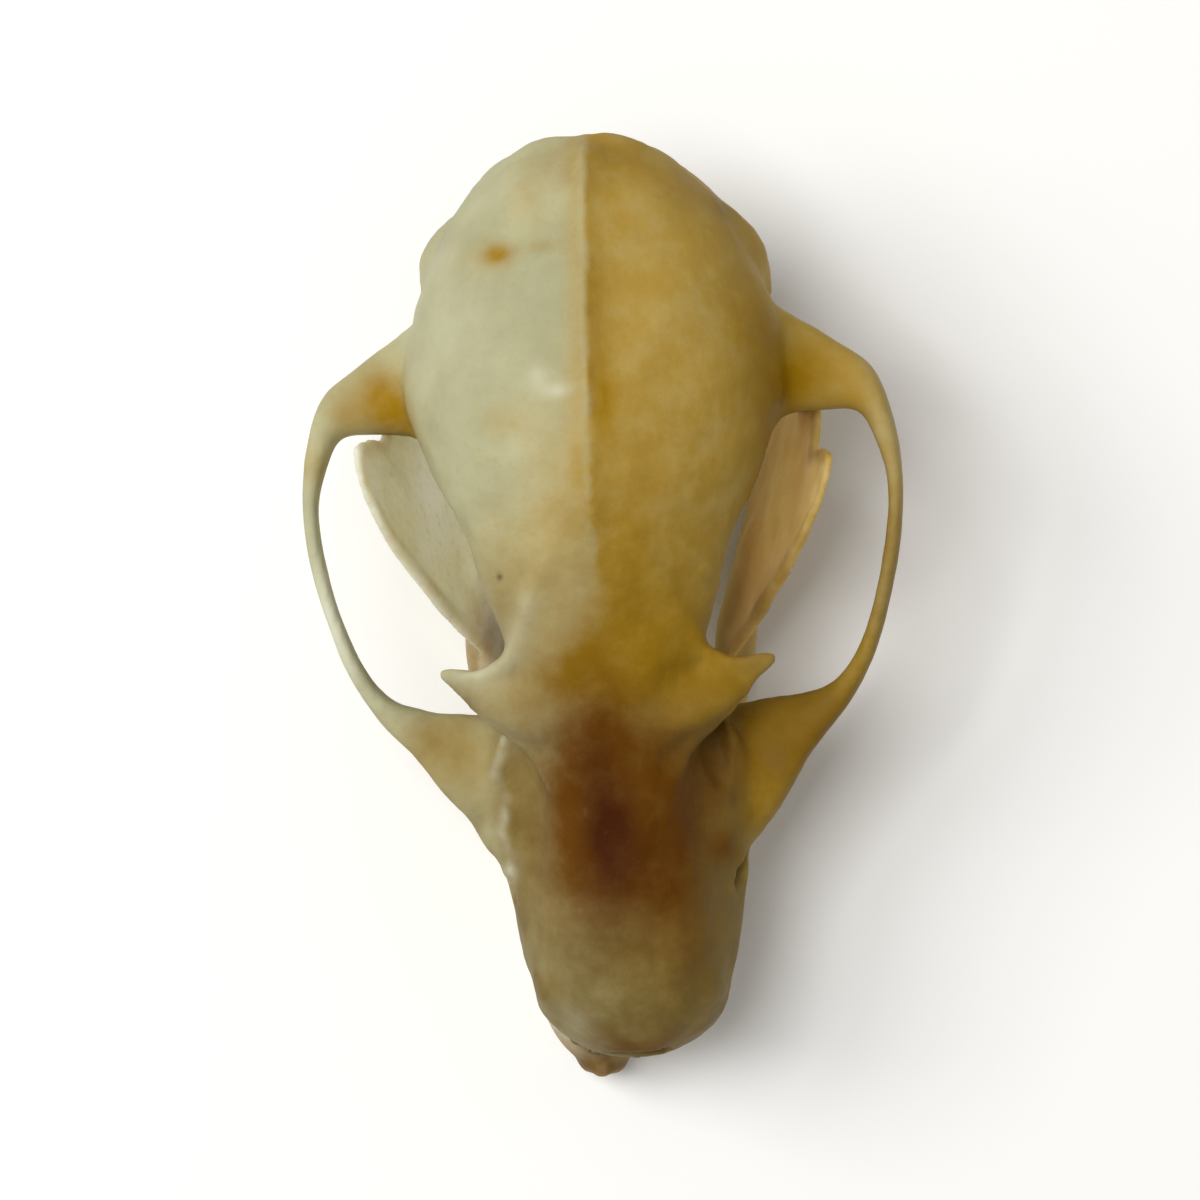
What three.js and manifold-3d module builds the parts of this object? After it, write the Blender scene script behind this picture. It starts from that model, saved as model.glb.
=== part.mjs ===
// Skull of a short-nosed fruit bat with its lower jaw, life size, in millimetres.
// +Z is up, the snout points to -Y and the animal's left side is +X. The origin is on the floor, under the
// middle of the skull. The cranium lies a little askew on the jaw, as a loose dry skull does.
// The cranium is drawn in its own frame, with z 0 at the gum line of the upper teeth.
import * as THREE from "three";
import { mergeVertices } from "three/addons/utils/BufferGeometryUtils.js";
import Module from "manifold-3d";

const wasm = await Module();
wasm.setup();

// Driving sizes
const GAP = 0.3; // clearance between neighbouring pieces
const GUM_LINE_Z = 5.9; // height of the upper tooth sockets over the floor
const LOWER_GUM_Z = 2.7; // height of the lower tooth sockets over the floor
const CRANIUM = { x: 0.22, yaw: 3 }; // place and turn in degrees, snout towards the animal's left
const JAW = { x: -0.3, yaw: -1.2 }; // place and turn in degrees, chin towards the animal's right
const MIDDLE_Y = 0.35; // moves the whole skull so that its middle is over the origin
const CHEEK_CUT_Y = 0.5; // where the cheek arch is parted between its two bones
const NECK_CUT_Y = -0.5; // where the braincase is parted from the face

// Cranium from the nape to the snout: half width high up and low down, heights of the roof, of the widest
// line and of the floor, and how square the section is, from 0 for round to 1
const CORE = [
  { y: 15.75, high: 4.0, low: 4.0, roof: 7.5, waist: 4.9, floor: 1.9, square: 0 },
  { y: 14.2, high: 4.15, low: 4.15, roof: 8.35, waist: 4.8, floor: 1.1, square: 0 },
  { y: 12.6, high: 4.95, low: 4.95, roof: 9.1, waist: 4.7, floor: 0.8, square: 0 },
  { y: 9.8, high: 6.15, low: 6.1, roof: 9.85, waist: 4.7, floor: 0.5, square: 0 },
  { y: 7.2, high: 6.5, low: 6.4, roof: 10.1, waist: 4.7, floor: 0.55, square: 0 },
  { y: 4.9, high: 5.9, low: 5.6, roof: 10.0, waist: 4.8, floor: 0.8, square: 0 },
  { y: 2.6, high: 4.9, low: 4.4, roof: 9.45, waist: 4.8, floor: 1.1, square: 0.1 },
  { y: 0.4, high: 4.35, low: 3.3, roof: 8.6, waist: 4.6, floor: 1.3, square: 0.25 },
  { y: -1.3, high: 3.7, low: 2.6, roof: 7.95, waist: 4.1, floor: 1.2, square: 0.6 },
  { y: -3.2, high: 3.05, low: 3.2, roof: 7.35, waist: 3.3, floor: 0.3, square: 1 },
  { y: -5.2, high: 2.75, low: 4.1, roof: 6.8, waist: 2.8, floor: 0, square: 1 },
  { y: -7.2, high: 2.8, low: 4.3, roof: 6.3, waist: 2.65, floor: 0, square: 1 },
  { y: -9.2, high: 3.15, low: 4.2, roof: 5.85, waist: 2.45, floor: 0, square: 1 },
  { y: -11.4, high: 3.2, low: 3.8, roof: 5.4, waist: 2.25, floor: 0, square: 1 },
  { y: -13.4, high: 2.6, low: 3.4, roof: 4.75, waist: 2.0, floor: 0, square: 1 },
  { y: -15.65, high: 1.7, low: 2.7, roof: 3.3, waist: 1.35, floor: 0, square: 1 },
];
const NAPE_ROUND = 2.4; // length over which the back of the braincase closes
const SNOUT_ROUND = 2.6; // length over which the snout closes

// Flat bones, each by its two edges seen from above, the height of its middle and its half depth
const CHEEK_ARCH = [
  { outer: [5.4, 10.4], inner: [5.2, 5.8], z: 3.9, up: 1.3 },
  { outer: [6.6, 9.6], inner: [6.4, 6.1], z: 3.95, up: 1.05 },
  { outer: [8.1, 8.55], inner: [7.9, 6.2], z: 4.05, up: 0.85 },
  { outer: [9.35, 7.55], inner: [8.8, 6.1], z: 4.2, up: 0.8 },
  { outer: [9.97, 5.8], inner: [9.3, 5.2], z: 4.4, up: 0.8 },
  { outer: [10.18, 3.8], inner: [9.66, 3.8], z: 4.5, up: 0.7 },
  { outer: [10.05, 2.0], inner: [9.55, 2.1], z: 4.5, up: 0.6 },
  { outer: [9.62, 0], inner: [9.12, 0.15], z: 4.3, up: 0.6 },
  { outer: [8.97, -2], inner: [8.46, -1.7], z: 3.85, up: 0.65 },
  { outer: [8.1, -3.55], inner: [7.6, -2.85], z: 3.35, up: 0.7 },
  { outer: [6.9, -5], inner: [6.5, -3.3], z: 2.95, up: 0.8 },
  { outer: [5.7, -6.6], inner: [5.4, -3.45], z: 2.6, up: 0.9 },
  { outer: [4.5, -8.3], inner: [4.2, -3.6], z: 2.35, up: 1.0 },
  { outer: [3.0, -9.0], inner: [3.0, -3.8], z: 2.3, up: 1.0 },
];
const ORBIT_PROCESS = [
  { outer: [2.0, -4.7], inner: [2.0, -2.3], z: 6.2, up: 0.7 },
  { outer: [3.2, -4.0], inner: [3.2, -2.2], z: 6.45, up: 0.5 },
  { outer: [3.9, -3.5], inner: [3.9, -2.1], z: 6.45, up: 0.4 },
  { outer: [4.6, -3.0], inner: [4.6, -1.98], z: 6.35, up: 0.32 },
  { outer: [5.15, -2.55], inner: [5.15, -1.95], z: 6.2, up: 0.25 },
  { outer: [5.6, -2.15], inner: [5.6, -2.0], z: 6.0, up: 0.12 },
];

// Thin cuts that part the cheek arch: middle, length across the bone and turn in degrees
const CHEEK_CUTS = [
  { place: [6.5, -4.7, 2.9], length: 3.6, turn: -8 },
  { place: [9.4, CHEEK_CUT_Y, 4.4], length: 2, turn: 80 },
  { place: [7.3, 7.6, 4.0], length: 5, turn: 0 },
];

// Teeth: place of the middle, length along the row, width and height of the crown
const UPPER_TEETH = [
  { x: 0.45, y: -15.15, long: 0.45, wide: 0.6, tall: 0.8 },
  { x: 1.15, y: -14.85, long: 0.45, wide: 0.6, tall: 0.8 },
  { x: 2.45, y: -13.2, long: 1.6, wide: 1.25, tall: 2.7, hook: 0.5 },
  { x: 2.8, y: -11.8, long: 0.6, wide: 0.55, tall: 0.45 },
  { x: 3.05, y: -10.4, long: 1.9, wide: 1.15, tall: 1.6 },
  { x: 3.4, y: -8.15, long: 2.0, wide: 1.3, tall: 1.15 },
  { x: 3.65, y: -5.75, long: 2.3, wide: 1.35, tall: 0.85 },
];
const LOWER_TEETH = [
  { x: 0.3, y: -16.1, long: 0.45, wide: 0.5, tall: 0.45 },
  { x: 0.82, y: -15.85, long: 0.45, wide: 0.5, tall: 0.5 },
  { x: 1.4, y: -15.0, long: 1.05, wide: 0.95, tall: 1.9, hook: 0.35 },
  { x: 1.8, y: -13.4, long: 0.75, wide: 0.65, tall: 0.6 },
  { x: 2.15, y: -11.9, long: 1.5, wide: 0.95, tall: 1.3 },
  { x: 2.6, y: -9.9, long: 1.8, wide: 1.1, tall: 0.95 },
  { x: 3.1, y: -7.7, long: 1.9, wide: 1.15, tall: 0.75 },
  { x: 3.5, y: -5.9, long: 1.2, wide: 1.0, tall: 0.6 },
];
const ROOT = 0.75; // depth of a root in the bone

// Lower jaw: the body of one side from the chin to the ramus, with half sizes across and upright
const JAW_BODY = [
  { at: [0.4, -16.2, 2.15], side: 0.45, up: 0.6 },
  { at: [0.8, -15.4, 1.95], side: 0.72, up: 0.95 },
  { at: [1.2, -14.3, 1.7], side: 0.9, up: 1.2 },
  { at: [1.55, -13.2, 1.45], side: 0.8, up: 1.45 },
  { at: [2.05, -11.8, 1.35], side: 0.65, up: 1.5 },
  { at: [2.6, -9.7, 1.4], side: 0.6, up: 1.4 },
  { at: [3.2, -7.2, 1.5], side: 0.65, up: 1.3 },
  { at: [3.85, -4.8, 1.65], side: 0.68, up: 1.3 },
  { at: [4.35, -2.4, 1.85], side: 0.72, up: 1.35 },
  { at: [4.5, -0.6, 2.0], side: 0.72, up: 1.4 },
  { at: [4.75, 1.3, 2.1], side: 0.5, up: 1.45 },
  { at: [5.15, 3.4, 2.1], side: 0.28, up: 1.2 },
];

// Ramus: height, front and back edge, half thickness
const RAMUS = [
  { y: -0.15, front: 2.6, back: 7.0, thick: 0.3 },
  { y: 0.9, front: 0.4, back: 8.1, thick: 0.42 },
  { y: 2.4, front: -1.8, back: 8.4, thick: 0.42 },
  { y: 4.2, front: -1.6, back: 8.1, thick: 0.4 },
  { y: 6.0, front: -0.75, back: 7.6, thick: 0.38 },
  { y: 7.4, front: 0.0, back: 7.2, thick: 0.35 },
  { y: 8.3, front: 0.45, back: 6.5, thick: 0.33 },
  { y: 9.1, front: 0.9, back: 5.45, thick: 0.31 },
  { y: 10.4, front: 1.85, back: 5.2, thick: 0.29 },
  { y: 11.5, front: 3.1, back: 4.75, thick: 0.27 },
  { y: 12.1, front: 3.7, back: 4.35, thick: 0.22 },
];
const RAMUS_X = 4.85; // middle of the plate at z 0 and y 4
const RAMUS_LEAN = 0.245; // how far it leans outwards for each millimetre up
const RAMUS_FLARE = 0.23; // how far it flares outwards for each millimetre back

const mix = (a, b, t) => a + (b - a) * t;
const clamp = (v) => Math.min(1, Math.max(0, v));
const smooth = (a, b, v) => {
  const t = clamp((v - a) / (b - a));
  return t * t * (3 - 2 * t);
};
const power = (v, e) => Math.sign(v) * Math.abs(v) ** e;
const radians = THREE.MathUtils.degToRad;

// How far a body has opened at a distance from a round end: 0 at the end, 1 past the length called round.
const opening = (distance, round) =>
  Math.sqrt(clamp(1 - Math.max(0, 1 - distance / round) ** 2));

// The value called key at y, read from a table of stations by a smooth curve through them.
function along(stations, key) {
  const rows = [...stations].sort((a, b) => a.y - b.y);
  const slope = (i) => {
    const a = rows[Math.max(0, i - 1)];
    const b = rows[Math.min(rows.length - 1, i + 1)];
    return (b[key] - a[key]) / (b.y - a.y);
  };
  return (y) => {
    let i = 0;
    while (i < rows.length - 2 && y > rows[i + 1].y) i++;
    const step = rows[i + 1].y - rows[i].y;
    const t = clamp((y - rows[i].y) / step);
    const [t2, t3] = [t * t, t * t * t];
    return (
      (2 * t3 - 3 * t2 + 1) * rows[i][key] +
      (t3 - 2 * t2 + t) * step * slope(i) +
      (3 * t2 - 2 * t3) * rows[i + 1][key] +
      (t3 - t2) * step * slope(i + 1)
    );
  };
}

const circle = (sides) =>
  Array.from({ length: sides }, (_, j) => (j / sides) * 2 * Math.PI);

// A closed skin over rings of points: ring(t) gives the points at t from 0 to 1, and each end closes on one point.
function skin(ring, rows) {
  const rings = Array.from({ length: rows + 1 }, (_, i) => ring(i / rows));
  const sides = rings[1].length;
  const middle = (r) =>
    r.reduce((sum, p) => sum.add(p), new THREE.Vector3()).divideScalar(r.length);
  const points = [middle(rings[0]), ...rings.slice(1, -1).flat(), middle(rings[rows])];
  const at = (i, j) => 1 + (i - 1) * sides + (j % sides);
  const index = [];
  for (let j = 0; j < sides; j++) {
    index.push(0, at(1, j), at(1, j + 1));
    for (let i = 1; i < rows - 1; i++) {
      index.push(at(i, j), at(i + 1, j), at(i + 1, j + 1));
      index.push(at(i, j), at(i + 1, j + 1), at(i, j + 1));
    }
    index.push(at(rows - 1, j), points.length - 1, at(rows - 1, j + 1));
  }
  const geometry = new THREE.BufferGeometry().setFromPoints(points);
  geometry.setIndex(index);
  return geometry;
}

// A closed geometry as a solid for joining and cutting, turned right side out.
function solid(geometry) {
  const bare = new THREE.BufferGeometry().setAttribute("position", geometry.getAttribute("position"));
  bare.setIndex(geometry.getIndex());
  const merged = mergeVertices(bare, 1e-4);
  const triVerts = new Uint32Array(merged.index.array);
  const made = () =>
    new wasm.Manifold(
      new wasm.Mesh({ numProp: 3, vertProperties: merged.attributes.position.array, triVerts }),
    );
  const first = made();
  if (first.volume() > 0) return first;
  for (let i = 0; i < triVerts.length; i += 3)
    [triVerts[i + 1], triVerts[i + 2]] = [triVerts[i + 2], triVerts[i + 1]];
  return made();
}

const joined = (...pieces) => pieces.reduce((sum, piece) => sum.add(piece));
const cut = (body, ...tools) => tools.reduce((rest, tool) => rest.subtract(tool), body);

// A geometry drawn for the animal's left, as a solid on the side given as 1 for left and -1 for right.
const onSide = (geometry, side) => solid(geometry.clone().scale(side, 1, 1));
const both = (geometry) => [onSide(geometry, 1), onSide(geometry, -1)];

// An egg-shaped lump at a place, with three half sizes, turned about the three axes in degrees.
function lump(place, halves, turn = [0, 0, 0], detail = 12) {
  const euler = new THREE.Euler(...turn.map(radians));
  return new THREE.SphereGeometry(1, detail, Math.round(detail * 0.6))
    .scale(...halves)
    .applyMatrix4(new THREE.Matrix4().makeRotationFromEuler(euler))
    .translate(...place);
}

const block = (place, size, turn = 0) =>
  new THREE.BoxGeometry(...size).rotateZ(radians(turn)).translate(...place);

// The value read from the stations at t from 0 to 1 by a smooth curve, one number per reading.
function reader(stations, read) {
  const curve = new THREE.CatmullRomCurve3(
    stations.map((s) => new THREE.Vector3(...read(s))),
    false,
    "chordal",
  );
  return (t) => curve.getPoint(t);
}

// How far the end of a bar has closed at t: the first and the last step are rounded off.
const tipped = (t, steps) => opening(Math.min(t, 1 - t), 1.4 / steps);

// A flat bone between two edges given from above, with its middle height and half depth.
function strap(stations, steps, sides) {
  const outer = reader(stations, (s) => [...s.outer, s.z]);
  const inner = reader(stations, (s) => [...s.inner, s.up]);
  return skin((t) => {
    const edge = outer(t);
    const other = inner(t);
    const centre = new THREE.Vector3((edge.x + other.x) / 2, (edge.y + other.y) / 2, edge.z);
    const close = tipped(t, steps);
    return circle(sides).map((a) => {
      const across = power(Math.cos(a), 0.8) * close;
      return new THREE.Vector3(
        centre.x + ((edge.x - other.x) / 2) * across,
        centre.y + ((edge.y - other.y) / 2) * across,
        centre.z + other.z * power(Math.sin(a), 0.8) * close,
      );
    });
  }, steps);
}

// A bar along a path, with its half sizes across and upright.
function bar(stations, steps, sides) {
  const path = reader(stations, (s) => s.at);
  const size = reader(stations, (s) => [s.side, s.up, 0]);
  return skin((t) => {
    const centre = path(t);
    const ahead = path(Math.min(1, t + 0.01)).sub(path(Math.max(0, t - 0.01)));
    const across = new THREE.Vector3(-ahead.y, ahead.x, 0).normalize();
    const upright = new THREE.Vector3().crossVectors(ahead, across).normalize();
    const { x: side, y: up } = size(t);
    const close = tipped(t, steps);
    return circle(sides).map((a) =>
      centre
        .clone()
        .addScaledVector(across, Math.cos(a) * side * close)
        .addScaledVector(upright, Math.sin(a) * up * close),
    );
  }, steps);
}

// The whole cranium without its ridges and arches: round at the braincase and square at the snout.
function coreShell() {
  const read = {};
  for (const key of ["high", "low", "roof", "waist", "floor", "square"]) read[key] = along(CORE, key);
  const back = CORE[0].y;
  const front = CORE.at(-1).y;
  const crowding = 0.05; // draws the rings together towards both ends
  return skin((t) => {
    const y = mix(back, front, t - crowding * Math.sin(2 * Math.PI * t));
    const [roof, waist, floor, square] = ["roof", "waist", "floor", "square"].map((key) => read[key](y));
    const open = opening(back - y, NAPE_ROUND) * opening(y - front, SNOUT_ROUND);
    const tall = mix(0.5, 1, open);
    return circle(36).map((a) => {
      const s = Math.sin(a);
      const bend = s > 0 ? mix(0.98, 0.72, square) : mix(0.7, 0.72, square);
      const z = waist + (s > 0 ? roof - waist : waist - floor) * tall * power(s, bend);
      const level = smooth(0.3, 0.8, (z - floor) / (roof - floor));
      const half = mix(read.low(y), read.high(y), level);
      return new THREE.Vector3(half * open * power(Math.cos(a), mix(0.92, 0.7, square)), y, z);
    });
  }, 46);
}

// The thin ridge along the top of the braincase, which sinks into the roof towards the front.
function sagittalCrest() {
  const roof = along(CORE, "roof");
  const half = 0.6;
  const heights = [
    [15.3, -0.25], [14.6, 0.35], [13.2, 0.55], [10.6, 0.55], [8, 0.48], [5.4, 0.4], [3, 0.28], [0.8, 0.05], [-0.6, -0.2],
  ];
  const stations = heights.map(([y, tall]) => ({
    at: [0, y, roof(y) + tall - half],
    side: 0.27,
    up: half,
  }));
  return bar(stations, 20, 6);
}

// The ridge round the back of the braincase, from the nape down to the mastoid.
function nuchalCrest() {
  const stations = [
    { at: [-0.7, 15.4, 6.6], side: 0.35, up: 0.6 },
    { at: [1.1, 15.35, 6.5], side: 0.4, up: 0.6 },
    { at: [2.6, 14.5, 5.8], side: 0.42, up: 0.6 },
    { at: [3.85, 13.4, 4.9], side: 0.45, up: 0.7 },
    { at: [5.0, 12.3, 3.9], side: 0.62, up: 0.9 },
    { at: [5.4, 11.4, 2.8], side: 0.6, up: 1.0 },
    { at: [5.5, 10.1, 1.8], side: 0.55, up: 0.7 },
  ];
  return bar(stations, 14, 8);
}

// The rim of the orbit where the cheek joins the side of the snout, down to the knob in front of the eye.
function orbitRim() {
  const stations = [
    { at: [3.5, -3.9, 4.2], side: 0.3, up: 0.4 },
    { at: [4.0, -4.9, 3.6], side: 0.28, up: 0.45 },
    { at: [4.1, -6.2, 3.45], side: 0.28, up: 0.45 },
    { at: [3.95, -7.8, 3.3], side: 0.32, up: 0.45 },
    { at: [3.95, -9.1, 2.85], side: 0.35, up: 0.5 },
  ];
  return bar(stations, 10, 6);
}

// The thin wing of bone on each side of the passage behind the palate.
function pterygoidWing() {
  const stations = [
    { at: [1.75, -2.6, 0.9], side: 0.35, up: 0.7 },
    { at: [1.8, -0.4, 0.9], side: 0.27, up: 0.85 },
    { at: [1.95, 1.6, 0.75], side: 0.27, up: 0.85 },
    { at: [2.2, 3.0, 0.35], side: 0.27, up: 0.35 },
  ];
  return bar(stations, 8, 6);
}

// A crown over its root: wide at the neck, drawn in to a cusp that may hook backwards.
function tooth({ x, y, long, wide, tall, hook = 0 }, down) {
  const flat = tall / long < 0.9;
  const rings = [
    [-ROOT, 0.55], [-ROOT * 0.7, 0.8], [0, 0.95], [tall * 0.35, 1],
    [tall * 0.7, flat ? 0.9 : 0.68], [tall * 0.93, flat ? 0.6 : 0.34], [tall, 0.1],
  ];
  return skin((t) => {
    const [z, grow] = rings[Math.round(t * (rings.length - 1))];
    const back = hook * clamp(z / tall) ** 2;
    return circle(7).map(
      (a) =>
        new THREE.Vector3(
          x + (Math.cos(a) * grow * wide) / 2,
          y + (Math.sin(a) * grow * long) / 2 + back,
          down ? -z : z,
        ),
    );
  }, rings.length - 1);
}

function craniumBone() {
  const orbits = both(lump([4.15, -3.9, 4.6], [1.5, 2.0, 1.2], [0, 0, -14]));
  const earHollows = both(lump([3.7, 9.3, 0.3], [1.7, 2.1, 0.8], [0, -15, 0]));
  const bone = joined(
    cut(solid(coreShell()), ...orbits, ...earHollows),
    solid(sagittalCrest()),
    ...both(nuchalCrest()),
    ...both(strap(CHEEK_ARCH, 34, 8)),
    ...both(strap(ORBIT_PROCESS, 9, 8)),
    ...both(orbitRim()),
    ...both(pterygoidWing()),
    ...both(lump([1.75, 14.3, 2.0], [0.8, 1.25, 1.2], [-25, 0, 0])), // occipital condyles
    ...both(lump([3.5, 13.0, 1.7], [0.5, 0.65, 1.1], [-20, 0, 0])), // points beside the condyles
    ...both(lump([5.1, 11.6, 2.2], [0.7, 1.0, 1.5])), // mastoids
    ...both(lump([2.5, -13.0, 2.0], [0.85, 1.1, 2.1], [-12, 0, 0])), // canine roots
  );
  const hollows = [
    solid(lump([0, 15.5, 2.5], [1.7, 2.7, 1.55], [-20, 0, 0], 18)), // foramen magnum
    solid(lump([0, -6.6, -0.55], [2.5, 7.4, 1.35], [0, 0, 0], 14)), // palate
    solid(lump([0, 1.4, 0.6], [1.45, 4.4, 1.9], [0, 0, 0], 14)), // passage behind the palate
    solid(lump([0, -15.95, 3.2], [1.25, 2.1, 1.15], [-45, 0, 0], 14)), // nose opening
    ...both(lump([4.05, -9.4, 2.6], [0.5, 1.2, 0.4], [0, 0, 25])), // infraorbital foramina
    ...both(lump([6.4, 7.4, 2.4], [1.6, 1.0, 0.7])), // jaw sockets
  ];
  return cut(bone, ...hollows);
}

function partedCranium() {
  const teeth = UPPER_TEETH.flatMap((t) => both(tooth(t, true)));
  const blades = CHEEK_CUTS.flatMap(({ place, length, turn }) =>
    both(block(place, [GAP, length, 3.2], turn)),
  );
  blades.push(solid(block([0, NECK_CUT_Y, 5], [13, GAP, 14])));
  return cut(joined(craniumBone(), ...teeth), ...blades)
    .decompose()
    .sort((a, b) => b.volume() - a.volume());
}

// The ring bone of the ear, hung under the braincase.
function earRing() {
  return new THREE.TorusGeometry(1.15, 0.42, 8, 14)
    .scale(1, 1.15, 1.1)
    .rotateY(radians(-22))
    .translate(3.8, 9.3, 0.05);
}

function ramus() {
  const [front, back, thick] = ["front", "back", "thick"].map((key) => along(RAMUS, key));
  const low = RAMUS[0].y;
  const high = RAMUS.at(-1).y;
  return skin((t) => {
    const z = mix(low, high, t);
    const open = opening(z - low, 0.5) * opening(high - z, 0.5);
    const centre = (front(z) + back(z)) / 2;
    const reach = ((back(z) - front(z)) / 2) * open;
    return circle(16).map((a) => {
      const y = centre + reach * power(Math.cos(a), 0.8);
      const x = RAMUS_X + RAMUS_LEAN * z + RAMUS_FLARE * (y - 4);
      return new THREE.Vector3(x + thick(z) * open * power(Math.sin(a), 0.8), y, z);
    });
  }, 22);
}

// One side of the lower jaw, flat where it meets the floor and parted from the other side at the chin.
function jawHalf(side) {
  const bone = joined(
    onSide(bar(JAW_BODY, 24, 10), side),
    onSide(lump([0.45, -14.95, 1.65], [0.85, 1.75, 1.15], [14, 0, 0]), side), // chin
    onSide(ramus(), side),
    onSide(lump([6.7, 7.6, 7.15], [1.45, 0.55, 0.5], [0, 0, 8]), side), // condyle
    onSide(lump([7.0, 7.3, 6.3], [0.5, 0.65, 1.1], [15, 0, 0]), side), // neck of the condyle
    ...LOWER_TEETH.map((t) => onSide(tooth(t, false).translate(0, 0, LOWER_GUM_Z), side)),
  );
  const floor = solid(block([0, 0, -5], [40, 60, 10]));
  const midline = onSide(block([GAP / 2 - 5, -15, 3], [10, 12, 12]), side);
  return cut(bone, floor, midline);
}

// The largest closed body of a solid as a named mesh.
function meshOf(name, body, look) {
  const largest = body.decompose().sort((a, b) => b.volume() - a.volume())[0];
  const mesh = largest.getMesh();
  const n = mesh.numProp;
  const position = new Float32Array(mesh.numVert * 3);
  for (let i = 0; i < mesh.numVert; i++)
    position.set(mesh.vertProperties.subarray(i * n, i * n + 3), i * 3);
  const geometry = new THREE.BufferGeometry()
    .setAttribute("position", new THREE.BufferAttribute(position, 3))
    .setIndex(new THREE.BufferAttribute(mesh.triVerts, 1));
  geometry.computeVertexNormals();
  const made = new THREE.Mesh(geometry, look);
  made.name = name;
  return made;
}

const look = (color, roughness) =>
  new THREE.MeshStandardMaterial({ color, roughness, metalness: 0 });

function craniumGroup() {
  const group = new THREE.Group();
  const [vault, face, ...arches] = partedCranium();
  group.add(meshOf("braincase", vault, look(0xcdbf8c, 0.5)));
  group.add(meshOf("face", face, look(0x8a6a34, 0.5)));
  for (const arch of arches.slice(0, 4)) {
    const { min, max } = arch.boundingBox();
    const name = `cheek_arch_${min[0] > 0 ? "left" : "right"}_${max[1] > 3 ? "back" : "front"}`;
    group.add(meshOf(name, arch, look(0xb9a870, 0.5)));
  }
  for (const [name, side] of [["left", 1], ["right", -1]])
    group.add(meshOf(`ear_ring_${name}`, onSide(earRing(), side), look(0xc9bb90, 0.55)));
  group.rotation.z = radians(CRANIUM.yaw);
  group.position.set(CRANIUM.x, 0, GUM_LINE_Z);
  return group;
}

function jawGroup() {
  const group = new THREE.Group();
  for (const [name, side] of [["left", 1], ["right", -1]])
    group.add(meshOf(`jaw_${name}`, jawHalf(side), look(0xc0b080, 0.52)));
  group.rotation.z = radians(JAW.yaw);
  group.position.x = JAW.x;
  return group;
}

const skull = new THREE.Group();
skull.add(craniumGroup(), jawGroup());
skull.position.y = MIDDLE_Y;

export default skull;
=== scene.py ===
"""Looks of a dry fruit bat skull that lies on its own lower jaw, seen from above.

Shapes are worked out in millimetres, the cranium and the jaw each in a frame of its own, and turned into
metres at the end. In the cranium's frame z is 0 at the gum line of the upper teeth and y runs to the nape.
"""

import math

import bpy
import numpy as np
from mathutils import Matrix


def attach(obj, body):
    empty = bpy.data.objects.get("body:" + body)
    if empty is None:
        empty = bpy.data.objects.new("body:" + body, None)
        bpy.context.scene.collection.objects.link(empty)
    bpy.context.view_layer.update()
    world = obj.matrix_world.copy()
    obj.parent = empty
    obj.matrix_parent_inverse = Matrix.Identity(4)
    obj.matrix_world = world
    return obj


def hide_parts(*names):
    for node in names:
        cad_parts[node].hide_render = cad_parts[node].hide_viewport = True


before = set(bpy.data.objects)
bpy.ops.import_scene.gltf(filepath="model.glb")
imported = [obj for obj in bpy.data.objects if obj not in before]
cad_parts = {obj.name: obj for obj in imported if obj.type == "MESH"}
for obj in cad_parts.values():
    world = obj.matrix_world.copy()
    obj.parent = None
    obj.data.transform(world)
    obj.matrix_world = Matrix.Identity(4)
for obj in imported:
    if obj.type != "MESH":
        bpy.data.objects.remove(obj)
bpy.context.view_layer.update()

MM = 0.001
MIDDLE_Y = 0.35
GUM_LINE_Z = 5.9
LOWER_GUM_Z = 2.7

# How the cranium and the jaw lie: turned about the upright, then shifted.
CRANIUM_STAND = {"turn": math.radians(3.0), "shift": np.array([0.22, MIDDLE_Y, GUM_LINE_Z])}
JAW_STAND = {"turn": math.radians(-1.2), "shift": np.array([-0.3, MIDDLE_Y, 0.0])}

JAW_NODES = ["jaw_left", "jaw_right"]
BOTH_SIDES = (1, -1)
ONCE = (1,)
NO_TURN = (0, 0, 0)

# Sizes of the squares that the skins are wrapped in, and how much coarser the first wrap is.
CRANIUM_VOXEL = 0.13
CRANIUM_COARSER = 1.3
JAW_VOXEL = 0.12
JAW_COARSER = 1.2

# The share of a hollow's depth that one round of filling takes up, the steps of smoothing in and back, how
# nearly a point may face along the way of a dent and still be pressed, and a length that counts as none.
FILL_SHARE = 0.6
STEP_IN = 0.5
STEP_BACK = 0.52
DENT_FACING = 0.25
NO_LENGTH = 1e-12

# Cranium from the nape to the snout: half width high up and low down, heights of the roof, of the widest
# line and of the floor, and how square the section is.
CORE = {
    "y": (15.75, 14.2, 12.6, 9.8, 7.2, 4.9, 2.6, 0.4, -1.3, -3.2, -5.2, -7.2, -9.2, -11.4, -13.4, -15.65),
    "high": (4, 4.15, 4.95, 6.15, 6.5, 5.9, 4.9, 4.35, 3.7, 3.05, 2.75, 2.8, 3.15, 3.2, 2.75, 2),
    "low": (4, 4.15, 4.95, 6.1, 6.4, 5.6, 4.4, 3.3, 2.6, 3.2, 4.1, 4.3, 4.2, 3.8, 3.4, 2.85),
    "roof": (7.5, 8.35, 9.1, 9.85, 10.1, 10, 9.45, 8.6, 7.95, 7.35, 6.8, 6.3, 5.85, 5.4, 4.75, 3.3),
    "waist": (4.9, 4.8, 4.7, 4.7, 4.7, 4.8, 4.8, 4.6, 4.1, 3.3, 2.8, 2.65, 2.45, 2.25, 2, 1.35),
    "floor": (1.9, 1.1, 0.8, 0.5, 0.55, 0.8, 1.1, 1.3, 1.2, 0.3, 0, 0, 0, 0, 0, 0),
    "square": (0, 0, 0, 0, 0, 0, 0.1, 0.25, 0.6, 1, 1, 1, 1, 1, 1, 1),
}
NAPE_ROUND = 2.4
SNOUT_ROUND = 2.2

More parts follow.
